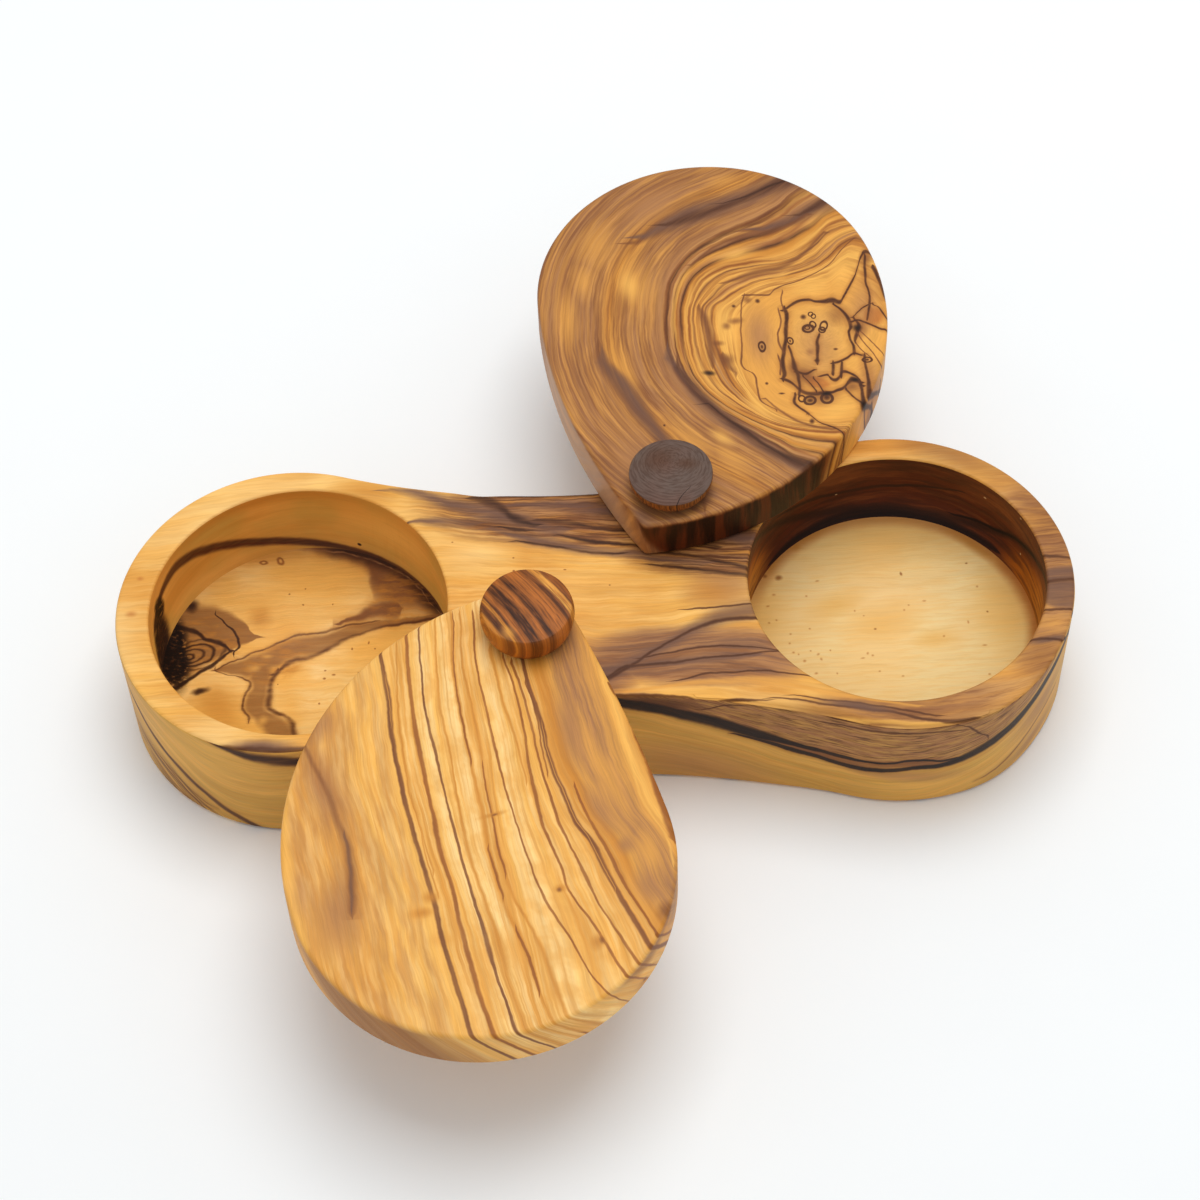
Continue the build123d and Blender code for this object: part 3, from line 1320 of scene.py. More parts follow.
SIDE_FLOW = Flow(Course.ALONG_X, (
    (0, ((-147, 0), (20, -2), (57, -16), (150, 10), (215, -3), (270, 8), (300, -10), (441, 0))),
    (20, ((-147, 20), (20, 25), (57, 4), (100, 12), (150, 34), (165, 28), (180, 23), (195, 17.5), (215, 15.5),
          (238, 19), (252, 25), (263, 31.5), (275, 34), (290, 20), (310, 16), (441, 20))),
    (36, ((-147, 36), (20, 40), (57, 32), (150, 44), (180, 38), (210, 35), (240, 37), (265, 42), (290, 37),
          (441, 36))),
))
WAVY_ZONE = Veins(soft=0.25, broken=0, paths=(
    ((150, 38, 3), (160, 35.5, 8), (175, 33, 14), (190, 29.5, 20), (205, 27.5, 23), (220, 28.5, 22),
     (235, 29.5, 20), (248, 32.5, 14), (258, 35.5, 8), (266, 37, 3)),
))
SIDE_STREAKED = Spots(soft=0.5, ovals=(
    (32, 4, 24, 9, -28), (320, 20, 50, 17), (400, 30, 60, 10), (-110, 30, 50, 10),
))
TORN_WALL = Spots(soft=0.5, ovals=((18, 17, 8, 15), (22, 27, 4, 6, 20)))
TORN_FLOOR = Spots(soft=0.5, ovals=((-110, 6, 5.8, 15, 8),))
BROWN_FLOOR = Spots(soft=0.4, ovals=((-50, 20, 10, 13, -35), (-84, 2, 12, 8, 30), (-103, 8, 13, 12, 20)))

# Pale honey wood, with smoky dark veins over the waist and a browner right rim
TOP_MARKS = (
    Streaks(CREAM, 0.35, width=3.5, length=30, cover=0.5, seed=2),
    Streaks(AMBER, 0.3, width=0.8, length=16, cover=0.4, seed=4),
    Spots(CREAM, 0.6, ovals=(
        (-88, 32, 44, 16, 20), (-122, -8, 12, 24), (-100, -40, 24, 10, 30), (-30, 14, 14, 6),
    )),
    Spots(GOLD, 0.45, ovals=((4, 2, 26, 7), (-8, -8, 20, 5))),
    Spots(TAN, 0.7, ovals=((32, 0, 15, 12),)),
    Spots(TAN, 0.9, soft=0.7, ovals=BACK_WAIST.ovals),
    Spots(TAN, 0.95, soft=0.4, ovals=FRONT_WAIST.ovals),
    Spots(TAN, 0.85, soft=0.8, ovals=RIGHT_RIM.ovals),
    Spots(AMBER, 0.6, ovals=((-58, 36, 14, 7, -10), (82, 42, 22, 6), (58, -30, 10, 4, -20), (28, -2, 10, 6))),
    Spots(GOLD, 0.6, ovals=((112, 14, 9, 6), (98, 36, 10, 5, -35), (112, -17, 8, 3), (108, -27, 8, 4, 30))),
    Spots(BROWN, 0.5, ovals=(
        (94, 37, 24, 8, -28), (114, 14, 10, 26, 12), (109, -28, 12, 14, 40), (72, -41, 40, 7, -4),
    )),
    Streaks(AMBER, 0.7, width=1.6, length=18, cover=0.45, seed=6, within=BACK_WAIST),
    Streaks(BROWN, 0.75, width=1.2, length=14, cover=0.5, seed=8, within=BACK_WAIST),
    Streaks(UMBER, 0.7, width=0.7, length=16, cover=0.4, seed=9, within=BACK_WAIST),
    Streaks(BROWN, 0.5, width=1.6, length=20, cover=0.45, seed=1, within=FRONT_WAIST),
    Streaks(MAUVE, 0.55, width=0.7, length=26, cover=0.4, seed=3, within=FRONT_WAIST),
    Streaks(BROWN, 0.5, width=0.7, length=12, cover=0.4, seed=5, within=RIGHT_RIM),
    Streaks(GOLD, 0.4, width=1.2, length=16, cover=0.4, seed=7, within=RIGHT_RIM),
    Veins(MAUVE, 0.85, broken=0.5, taper=6, paths=(
        ((-52, 36.4, 2), (-44, 34, 6), (-38, 31, 6), (-32, 29, 8), (-26, 27, 10), (-18, 24, 9), (-10, 20, 6)),
        ((-44, 25, 3), (-38, 24.6, 5), (-32, 24, 4)),
        ((-26, 22, 2), (-18, 18.6, 5), (-10, 15.6, 6), (0, 13, 5), (12, 10.4, 4), (26, 7, 3)),
        ((-20, 29, 2), (-8, 28, 6), (2, 26, 8), (12, 24, 8), (24, 20, 8), (38, 14, 8)),
    )),
    Veins(DARK, 0.85, broken=0.45, taper=3, paths=(
        ((-30, 32, 3), (-26, 30.4, 6), (-23, 28, 5), (-20.6, 25.4, 4.4), (-17.4, 23.6, 3.6), (-15, 22.4, 2)),
        ((-23, 22.4, 1), (-20, 21.4, 2.4), (-17, 20.6, 1)),
        ((-14, 24, 1), (-9, 22.8, 2.6), (-2, 21, 2.4), (8, 18.8, 2.4), (18, 16, 3), (30, 12, 3)),
        ((-9, 18.4, 0.8), (-2, 16.4, 2), (6, 14.6, 1.8), (14, 12.6, 2.2), (26, 9, 2), (40, 4.2, 3)),
        ((-20, 17.4, 0.8), (-12, 15.4, 1.4), (-3, 13, 1.4), (6, 11.6, 1.2)),
        ((14, 8, 0.8), (26, 5, 1.8), (40, 2.4, 2)), ((-26, 33, 2), (-12, 31.4, 2.4), (0, 30.8, 2)),
    )),
    Veins(MAUVE, 0.75, broken=0.1, taper=5, paths=(
        ((-6, -26.6, 5), (0, -25, 9), (6, -22.4, 8), (14, -18.4, 6), (22, -13.4, 7), (30, -9.6, 9),
         (38, -8, 9)),
        ((12, -22.4, 3), (24, -22.2, 4), (36, -21.6, 3)),
    )),
    Veins(UMBER, 0.85, soft=0.9, broken=0.1, taper=3, paths=(
        ((-4, -28.6, 1), (0, -27, 2.6), (6, -23.4, 2), (13, -18.8, 1.4), (20, -14.4, 1.4), (26, -11.6, 1.8),
         (32, -10.4, 2), (40, -10.6, 1.6)),
        ((1, -26, 1.4), (6, -23, 1.8), (14, -22.8, 1.3), (24, -22, 1.1), (34, -21.4, 0.9), (46, -20.8, 0.7)),
        ((10, -20.8, 0.6), (18, -19.2, 1), (28, -18.4, 1), (38, -19.6, 0.7), (46, -21, 0.5)),
        ((18, -28, 0.5), (28, -26.4, 1), (40, -26.6, 0.9), (52, -29, 0.6)),
        ((22, -7, 0.6), (30, -6.4, 1), (38, -6, 0.8)),
    )),
    Veins(GOLD, 0.85, soft=0.9, paths=(
        ((6, -30.6, 0.8), (18, -29.2, 2), (28, -28.8, 3), (42, -29.8, 3.4), (54, -33.4, 2.6), (66, -37, 1.6),
         (76, -39.6, 1)),
    )),
    Veins(HONEY, 0.8, soft=0.9, taper=4, paths=(
        ((52, -39.6, 0.8), (62, -42.2, 1.8), (72, -44.2, 1.8), (80, -45, 1)),
    )),
    Veins(UMBER, 0.8, soft=0.8, taper=3, paths=(
        ((-6, -31.3, 1.2), (10, -31.9, 1.8), (20, -33, 1), (26, -34.6, 1), (32, -34.4, 1.2),
         (40, -35.4, 0.6)),
        ((41, -34.8, 0.5), (50, -36.2, 1), (60, -38.6, 1.2), (70, -41, 1.2), (78, -43.6, 1.4),
         (84, -44.4, 1.6), (91, -44, 1.2)),
        ((46, -34.2, 0.4), (58, -36.6, 0.8), (70, -39.8, 0.9), (80, -42.6, 1)),
        ((40, -37.4, 0.6), (48, -39.4, 1.4), (56, -41.4, 1)),
    )),
    Spots(MAUVE, 0.85, soft=0.9, ovals=(
        (-84, -41, 13, 3.4, -3), (62, -38.4, 14, 1.8, -16), (111, -22, 9, 1.6, 4),
    )),
    Veins(MAUVE, 0.8, soft=0.25, broken=0.3, paths=(((108, -4, 8), (113, -6.2, 13.4), (124, -6.4, 15)),)),
    Veins(UMBER, 0.8, soft=0.9, paths=(
        ((104, -22, 0.6), (108, -21.6, 1.4), (114, -22.6, 1.4), (119, -23.4, 1)),
        ((108, -12.6, 0.8), (112, -12.8, 1.2), (120, -13.2, 1)),
        ((110, -4.4, 1), (114, -4, 2), (121, -4, 1.4)), ((110, 4, 0.8), (114, 3.6, 1.6), (120, 2.6, 1)),
        ((-98, -39.4, 1), (-86, -41.4, 2.4), (-72, -42, 2)),
    )),
    Spots(ORANGE, 0.55, ovals=((-117, 1, 2, 1.6), (-115, 12, 1.5, 1))),
    Spots(RUSSET, 0.8, soft=0.8, ovals=(
        (-99, 24.5, 0.5, 0.4), (-21, 8, 0.5, 0.4), (-8, 7.4, 0.6, 0.3), (-21, 12, 0.4, 0.3), (3, 2, 0.4, 0.3),
        (-36, 18, 0.4, 0.3),
    )),
)

TOP_FIGURE = OliveWood(
    name="olive wood, sanded top", ground=HONEY, mottle=GOLD, low=(-130, -130), high=(130, 130),
    flow=TOP_FLOW, wobble=0.8, contrast=0.12, marks=TOP_MARKS,
)

# Golden brown wood: a black wavy line over a brown wave on the right, dark stripes behind
SIDE_MARKS = (
    Streaks(HONEY, 0.45, width=3, length=60, cover=0.5, seed=2),
    Streaks(AMBER, 0.35, width=1.2, length=50, cover=0.4, seed=4),
    Spots(HONEY, 0.5, ovals=((44, 26, 34, 14), (230, 6, 22, 8))),
    Spots(TAN, 0.6, ovals=((4, 14, 18, 26), (222, 13, 26, 4, -6), (170, 6, 34, 14, -12))),
    Veins(BROWN, 0.7, broken=0.4, halo=1.5, paths=(
        ((18, 13.4, 1), (26, 10.4, 2.2), (34, 6.8, 2.2), (42, 2.6, 1.4)),
        ((24, 7, 0.8), (32, 3.6, 2), (40, 0.4, 1.4)), ((28, 12, 0.8), (36, 8.6, 1.6), (44, 4.4, 1)),
    )),
    Veins(TAN, 0.9, soft=0.6, paths=(
        ((-150, 30, 8), (-110, 30, 12), (-80, 32, 8), (-60, 34, 2)),
        ((280, 30, 8), (295, 20, 24), (320, 18, 26), (345, 22, 20), (380, 27, 16), (441, 30, 10)),
    )),
    Streaks(UMBER, 0.7, width=0.9, length=40, cover=0.4, seed=12, within=SIDE_STREAKED),
    Veins(UMBER, 0.9, soft=0.8, halo=1, paths=(
        ((15, 28, 1.4), (21, 25, 3.4), (30, 19, 3.2), (40, 12.4, 3), (50, 5.4, 3.2), (60, -1.4, 3.2)),
    )),
    Veins(DARK, 0.95, soft=0.8, halo=1, paths=(
        ((44, 37.6, 1), (51, 36, 3), (57, 34.6, 5), (64, 33.2, 6), (71, 31.8, 6), (84, 28, 5), (100, 27, 4),
         (118, 29, 3), (136, 34, 3)),
    )),
    Veins(TAN, 0.95, soft=0.25, broken=0, paths=WAVY_ZONE.paths),
    Streaks(OLIVE, 0.55, width=1.4, length=12, cover=0.5, seed=12, within=WAVY_ZONE),
    Streaks(BROWN, 0.4, width=0.8, length=8, cover=0.42, seed=14, within=WAVY_ZONE),
    Streaks(DARK, 0.55, width=0.45, length=7, cover=0.3, seed=16, within=WAVY_ZONE),
    Spots(UMBER, 0.75, soft=0.9, ovals=((160, 34, 18, 4.4, -8),)),
    Veins(BROWN, 0.8, soft=0.8, broken=0.3, paths=(
        ((184, 22.4, 1.5), (193, 20.6, 3.6), (202, 17.6, 3.8), (212, 17, 4), (222, 19, 5.6), (230, 19, 4),
         (236, 19.4, 2)),
    )),
    Veins(BLACK, 0.94, soft=0.6, broken=0.12, halo=1.6, paths=(
        ((136, 38, 5), (149.5, 33.9, 6), (160, 31.1, 6), (166.4, 28.9, 5.6), (175.5, 26.6, 6.4),
         (184.5, 23.6, 6), (189, 22.6, 4.4), (193.6, 21.2, 3), (200.9, 19.4, 2.2), (207.3, 18.5, 2),
         (213.6, 18.6, 1.4), (219.1, 19.5, 1.4), (223.6, 21.1, 1.7), (228.2, 20.7, 1.4), (231.8, 19.6, 1.5),
         (237, 19.6, 1)),
        ((180, 22.4, 1), (186.4, 20.7, 2), (193.6, 18.4, 2.8), (199.1, 17, 2.4), (204, 15.6, 2.4),
         (210, 15, 2.6), (217.3, 15.7, 2.4), (221.8, 16.6, 2.4), (226, 17.3, 2.8), (230, 17.3, 3.2),
         (234.5, 18, 4), (239.1, 19.8, 5.4), (243.6, 21.6, 6), (250, 24.3, 6), (257.3, 28, 6),
         (264.5, 31.1, 6), (271.8, 33, 5), (277, 34, 3)),
    )),
    Veins(UMBER, 0.85, soft=0.9, paths=(
        ((243.6, 25.7, 1.2), (240.6, 28.4, 1.3), (239, 30.7, 1.3), (237.3, 33.4, 1.3), (233.6, 35.7, 1.1)),
        ((170, 31.6, 0.5), (173.6, 33, 1), (176.4, 34.6, 1), (181, 35.6, 0.8)),
        ((200, 33, 0.6), (214, 34.2, 1.3), (228, 34, 1.2), (236, 32.6, 0.6)),
        ((204, 36, 1), (216, 36.6, 1.8), (230, 36.4, 1.8), (244, 37, 1.4)),
    )),
    Veins(BROWN, 0.7, soft=0.9, halo=1.2, paths=(
        ((244, 4.6, 0.8), (248, 5.7, 1.4), (252.7, 8, 1.8), (257.3, 10.7, 1.8), (264.5, 13.9, 1.8),
         (271, 16, 1)),
    )),
    Spots(TAN, 0.7, ovals=((262, 6, 16, 5, 12), (262, 20, 16, 9, 20))),
    Veins(DARK, 0.85, soft=0.8, paths=(
        ((270, 38, 1.8), (276, 33, 2.4), (284, 22, 2.4), (291, 12, 2), (299, 2, 1.8)),
        ((278, 38, 2.4), (286, 31, 3), (296, 19, 3), (305, 8, 2.4), (312, -1, 2)),
        ((292, 38, 2), (302, 28, 3), (314, 15, 3), (328, 3, 2)),
        ((306, 38, 1), (320, 31, 2), (340, 25, 2.4), (372, 22, 2), (410, 25, 2), (445, 28, 2)),
        ((330, 36, 1), (360, 32, 2), (400, 33, 2.4), (445, 34, 2)),
        ((-150, 28, 2), (-120, 24, 2.4), (-95, 26, 2), (-70, 31, 1.4)),
        ((-150, 34, 2), (-125, 33, 2.4), (-100, 35, 2)),
    )),
)
SIDE_FIGURE = OliveWood(
    name="olive wood, sanded side", ground=OLIVE, mottle=OLIVE, low=(-150, -150), high=(445, 445),
    flow=SIDE_FLOW, mapped=True, wobble=0.8, marks=SIDE_MARKS,
)

# Golden wood with one dark arching band, torn near the front
LEFT_WALL_MARKS = (
    Streaks(AMBER, 0.3, width=6, length=30, cover=0.5, seed=2),
    Streaks(AMBER, 0.5, width=12, length=0.8, cover=0.3, seed=3, within=Spots(
        soft=0.8, ovals=((96, 24, 14, 12),),
    )),
    # The first oval, below the dark band, is painted shade warmed by painted reflected light
    Spots(AMBER, 0.7, ovals=((34, 22, 30, 8), (60, 35, 50, 4))),
    Spots(HONEY, 0.7, ovals=((96, 26, 26, 14),)),
    Veins(UMBER, 0.95, soft=0.7, halo=0.8, paths=(
        ((16, 27, 3), (25, 30, 4), (32, 30.6, 4.6), (38, 29, 5), (46, 25, 5.4), (54, 20.6, 5.4), (62, 17, 5),
         (70, 14.6, 4.6), (80, 12.6, 4), (100, 12, 3), (118, 12, 2)),
    )),
    Veins(CHESTNUT, 0.7, paths=(((40, 28, 0.8), (52, 21, 1.2), (66, 14.6, 1)),)),
    Streaks(BLACK, width=0.8, length=3, cover=0.75, seed=6, within=TORN_WALL),
    Spots(DARK, 0.75, soft=0.7, ovals=((19, 16, 8, 14),)),
    Spots(DARK, soft=0.5, ovals=((86, 15.4, 0.8, 0.7),)),
)
LEFT_WALL_FIGURE = OliveWood(
    name="olive wood, left bored wall", ground=GOLD, mottle=OLIVE, low=(-50, -50), high=(190, 190),
    flow=STRAIGHT_X, mapped=True, wobble=0.6, contrast=0.08, marks=LEFT_WALL_MARKS,
)

# Cream wood with a forked brown figure, an eye and torn grain beside the wall
LEFT_FLOOR_MARKS = (
    Spots(PALE, 0.6, ovals=((-64, -8, 18, 13), (-74, -24, 14, 10), (-76, 19, 10, 5, -8))),
    Spots(HONEY, 0.7, soft=0.9, ovals=((-80, 22, 28, 18), (-98, -12, 14, 16, 25))),
    Streaks(HONEY, 0.4, width=4, length=10, cover=0.45, seed=2),
    Streaks(GOLD, 0.3, width=1.2, length=16, cover=0.4, seed=3),
    Spots(AMBER, 0.6, ovals=((-98, -12, 8, 11, 30), (-88, 35.5, 20, 4), (-88, 16, 5, 5))),
    Veins(BROWN, 0.8, soft=0.8, broken=0, halo=2.5, paths=(
        ((-88, 41, 4), (-77.6, 40.3, 8), (-70.4, 38.6, 12), (-63.1, 36, 14), (-59.5, 34, 17.2),
         (-57.5, 30, 32), (-54, 26, 29), (-48, 23.4, 24), (-40, 20, 15)),
        ((-67, 12.2, 1), (-62, 14, 4), (-57, 16, 8), (-52, 16, 10)),
    )),
    Streaks(AMBER, 0.5, width=2.2, length=7, cover=0.4, seed=9, within=BROWN_FLOOR),
    # Painted shade: a dark line along the foot of the wall at the back right of the floor
    Spots(DARK, 0.85, hollow=0.22, ovals=((-75.3, 0, 42.1, 42.1),), within=Spots(
        soft=0.4, ovals=((-54, 27, 25, 15, -42),),
    )),
    Veins(BARK, 0.85, soft=0.6, broken=0.15, paths=(
        ((-38, 13.6, 1.8), (-46.7, 12.4, 2.2), (-57.6, 11.15, 3), (-64.9, 9.35, 4.4), (-72.2, 6.65, 7.5),
         (-79.5, 5.5, 8.4), (-84.9, 3.2, 9.6), (-89.5, 0.4, 10.5), (-94, -0.4, 5.7), (-99, -0.6, 0.8)),
        ((-88, 2, 9), (-87.85, -3.7, 8.7), (-87.5, -6.5, 5.2), (-88.15, -9.2, 7.1), (-88.8, -12.4, 6.8),
         (-86, -15.5, 9), (-82.85, -19.2, 9.5), (-80.4, -30, 8), (-79, -42, 8)),
    )),
    Spots(HONEY, 0.6, ovals=((-89.6, -0.4, 3.4, 1.9, 20), (-86.4, 3.6, 2.6, 1.2), (-86.6, -16.4, 2, 2.4))),
    Veins(BARK, 0.9, soft=0.3, broken=0.1, paths=(
        ((-118, 8, 32), (-107, 9, 28), (-104.9, 9.85, 25.5), (-99.5, 11.6, 20.2), (-96.7, 11.65, 16.5),
         (-92.6, 11.5, 8.6), (-89.9, 10.2, 2), (-88.3, 10.1, 0.5)),
    )),
    Streaks(AMBER, 0.5, width=1.6, length=6, cover=0.4, seed=4, within=BROWN_FLOOR),
    Veins(UMBER, 0.75, broken=0.35, halo=0.8, paths=(
        ((-38, 13, 1.4), (-46.7, 11.9, 1.6), (-54.9, 10.5, 1.6), (-59.9, 9.1, 1.8), (-64.9, 7.3, 2.2),
         (-70.4, 4.7, 2.4), (-75.8, 2.2, 2.6), (-79, 1.9, 2.8), (-81.6, 0.2, 3), (-83.6, -2.4, 2.6)),
        ((-83, -1.6, 2.6), (-84.8, -5.5, 2.4), (-84.8, -8.3, 2.6), (-85.4, -12, 3), (-82.6, -14.8, 3.2),
         (-80, -16.7, 3.2), (-78.6, -20.6, 3), (-77, -27, 2.4), (-75.6, -40, 2)),
        ((-99.4, -0.6, 0.8), (-96.3, -2.2, 1.2), (-92.4, -3.6, 1.4), (-90.2, -6.3, 1.6), (-91.4, -9.2, 1.2),
         (-91.8, -12.4, 1.2), (-90.2, -15.3, 1.4)),
        ((-58, 12.4, 0.8), (-64.9, 11.4, 1.2), (-72.2, 10.2, 1.2), (-79.5, 9.3, 1.2), (-84.9, 7.4, 1.2),
         (-89.5, 5.2, 1.2), (-94, 2.4, 1), (-98.6, -0.4, 0.8)),
    )),
    Veins(DARK, 0.9, soft=0.8, broken=0.1, paths=(
        ((-110, 14.6, 2), (-107.2, 13.5, 2.2), (-104, 12.4, 2.2), (-102, 10.4, 2.2), (-99.5, 9.2, 2),
         (-97.4, 7.6, 2), (-95.6, 5.4, 1.6)),
        ((-95.6, 5.4, 1.8), (-97.6, 3.1, 2), (-100.4, 0.8, 2.2), (-103.1, -1, 2.4), (-106.3, -3.7, 2.6),
         (-109, -5, 2.4)),
        ((-99.9, 18.1, 0.6), (-96.7, 14.9, 1), (-94.5, 11.7, 1.1), (-93.2, 7.6, 1), (-94.8, 4.6, 0.8)),
    )),
    *(
        Spots(DARK, depth, hollow=thick / radius, ovals=(
            (EYE[0] + 0.32 * radius, EYE[1] + 0.12 * radius, radius * 1.2, radius * 0.86, 18),
        ))
        for radius, thick, depth in ((1.5, 1.2, 0.85), (3, 1.1, 0.7), (4.6, 1.3, 0.8), (6.2, 1.2, 0.5))
    ),
    Spots(DARK, 0.9, soft=0.9, ovals=((-102.6, -7, 3.4, 1.3, 5), (-111.4, 6, 5.4, 14, 8), (-106, 21, 3, 3))),
    Streaks(BLACK, width=0.9, length=1.6, cover=0.75, seed=6, within=TORN_FLOOR),
    Spots(RUSSET, 0.75, soft=0.8, ovals=(
        (-80.6, 22.6, 0.5, 0.4), (-76.4, 18.8, 0.4, 0.5), (-68.8, 18.6, 0.4, 0.4), (-64.2, 4.1, 0.4, 0.6),
        (-70.8, -2.2, 0.4, 0.4), (-70.8, -4.6, 0.6, 0.5), (-68.8, -3.7, 0.5, 0.5), (-82.8, -5.5, 0.3, 0.3),
        (-59.5, 5.6, 0.4, 0.5), (-76, 24, 0.4, 0.4), (-58, 3.6, 0.4, 0.4), (-63, -3.4, 0.3, 0.4),
        (-72, -12, 0.4, 0.4),
    )),
    Spots(RUSSET, 0.8, hollow=0.9, ovals=((-82.6, 33.5, 1.2, 1.8, 15), (-86.7, 33.5, 1.4, 1))),
    # Painted shade: a faint broken line along the foot of the back wall
    Veins(TAN, 0.8, broken=0.9, paths=(
        ((-86, 37, 0.4), (-72, 36.4, 0.9), (-62, 33.6, 1), (-54, 29.2, 1), (-46, 22, 1), (-41, 14, 0.6)),
    )),
)
LEFT_FLOOR_FIGURE = OliveWood(
    name="olive wood, left well floor", ground=CREAM, mottle=HONEY, low=(-130, -60), high=(-30, 60),
    flow=STRAIGHT_X, wobble=1.5, contrast=0.1, marks=LEFT_FLOOR_MARKS,
)

# The darkest surface: dark wood with painted shade deep in the well, in its ground and in a near-black band
# at its foot, and painted reflected light glowing amber at both ends
RIGHT_WALL_MARKS = (
    # These three are painted reflected light: warm amber and ember at both ends of the wall
    Spots(EMBER, soft=0.45, ovals=((-18, 24, 36, 30), (162, 20, 40, 30))),
    Spots(EMBER, 0.9, soft=0.6, ovals=((22, 20, 18, 15, -30), (124, 14, 26, 15, 28))),
    Spots(AMBER, 0.85, soft=0.9, ovals=((24, 18, 18, 12, -20), (144, 17, 32, 17, 10))),
    Spots(RUSSET, 0.6, ovals=((108, 32, 26, 8), (56, 32, 26, 7))),
    Streaks(RUSSET, 0.4, width=1.4, length=22, cover=0.35, seed=2),
    Streaks(DARK, 0.45, width=2.4, length=16, cover=0.4, seed=4),
    Veins(DARK, 0.9, soft=0.9, paths=(
        ((24, 37, 2), (34, 31, 4), (44, 25, 5), (52, 20.6, 6), (62, 17, 7), (76, 15, 7), (90, 15.6, 7),
         (100, 19, 5.4), (110, 24, 4.6), (124, 30, 4), (136, 35, 3)),
        ((40, 30, 1), (52, 27, 2.4), (66, 25, 2.4), (82, 26, 2), (94, 29, 1)),
    )),
    # The first of these lines is a near-black band of painted shade at the foot of the wall
    Veins(BLACK, 0.9, soft=0.9, paths=(
        ((38, 13, 2), (50, 13, 8), (64, 13, 10), (80, 12, 9), (94, 12.6, 7), (106, 14, 3)),
        ((92, 18, 1), (102, 21, 2), (112, 25, 2), (122, 29, 1.4)),
    )),
    Spots(BEECH, 0.8, soft=0.6, ovals=(
        (101, 31, 0.5, 0.4), (113, 35, 0.6, 0.4), (115.5, 22, 0.4, 0.5), (60.5, 25, 0.4, 0.3),
    )),
)
RIGHT_WALL_FIGURE = OliveWood(
    # The chestnut ground is painted shade of the deep well
    name="olive wood, right bored wall", ground=CHESTNUT, mottle=CHESTNUT, low=(-50, -50), high=(190, 190),
    flow=STRAIGHT_X, mapped=True, wobble=1, contrast=0.1, marks=RIGHT_WALL_MARKS,
)

# The palest and plainest wood, with a few specks
RIGHT_FLOOR_MARKS = (
    Streaks(CREAM, 0.4, width=5, length=12, cover=0.45, seed=2),
    Streaks(HONEY, 0.2, width=0.9, length=9, cover=0.4, seed=4),
    Spots(HONEY, 0.55, ovals=(
        (76, 32, 44, 20), (41, 8, 12, 28, -10), (74, 4, 16, 9, 10), (62, 10, 12, 6, 20), (86, -2, 9, 5),
        (106, 6, 14, 28),
    )),
    # Painted shade and painted reflected light: an orange band along the foot of the wall at the back and
    # right
    Spots(ORANGE, 0.85, hollow=0.2, ovals=((75.3, 0, 41.7, 41.7),), within=Spots(
        soft=0.6, ovals=((75, 20, 50, 26), (110, 6, 14, 34)),
    )),
    # Painted shade: amber along the back edge of the floor, at the foot of the wall and under the lid
    Spots(AMBER, 0.7, ovals=((56, 33, 14, 4, 30), (100, 26, 14, 3, -45), (46, 24, 6, 3, 50), (53, 29, 3, 2))),
    Spots(ORANGE, 0.6, ovals=(
        (46.2, 13.8, 0.9, 0.6), (57.6, 18, 0.8, 0.5), (54.2, 13.2, 0.5, 0.5), (44.4, 10.4, 0.8, 0.5),
        (46.4, 6, 0.5, 0.5), (44.2, 5.2, 0.6, 0.5), (49.4, 1.2, 0.5, 0.5), (54.4, 2.8, 0.5, 0.5),
        (49, -1.8, 0.5, 0.5), (49.4, -4.6, 0.5, 0.5), (50.5, -5.4, 0.4, 0.4), (51.8, -7.4, 0.7, 0.6),
        (53.8, -4.8, 0.4, 0.4), (55.6, -5.8, 0.7, 0.5, 40), (56.2, -7.2, 0.5, 0.6), (54.6, -11.4, 0.7, 0.5),
        (59, -4.4, 0.4, 0.4), (67, -7.4, 0.9, 0.4), (68.4, -6, 0.5, 0.6), (69.6, -6.8, 0.5, 0.5),
        (70.9, -11.6, 0.5, 0.4), (76.5, -13.5, 0.6, 0.4), (60, -11.6, 0.4, 0.5), (79, 7, 0.5, 0.5),
        (80.4, 8.6, 0.5, 0.5), (84.8, 9.8, 0.8, 0.4), (88.8, -1.6, 0.5, 0.5), (98.6, -5.4, 1, 0.4),
        (95.2, 2.2, 0.4, 0.8), (99, 13, 0.5, 0.5), (66.6, 7.8, 0.4, 0.5), (68.8, 6, 0.4, 0.4),
        (99, -14.4, 0.6, 0.5),
    )),
    Spots(RUSSET, 0.75, soft=0.9, ovals=(
        (47.8, 19.4, 1.5, 1.3), (44, 20.2, 1, 0.9), (97.2, 20.6, 0.5, 0.4), (79.6, 18.7, 0.5, 1, 20),
        (71.2, 1.6, 0.5, 0.4), (100.6, 4.9, 0.4, 0.4),
    )),
)
RIGHT_FLOOR_FIGURE = OliveWood(
    name="olive wood, right well floor", ground=PALE, mottle=CREAM, low=(30, -60), high=(130, 60),
    flow=STRAIGHT_X, wobble=0.8, contrast=0.06, marks=RIGHT_FLOOR_MARKS,
)

# One for each surface, in the order of Face
BODY_FIGURES = (
    TOP_FIGURE, SIDE_FIGURE, LEFT_WALL_FIGURE, LEFT_FLOOR_FIGURE, RIGHT_WALL_FIGURE, RIGHT_FLOOR_FIGURE,
)

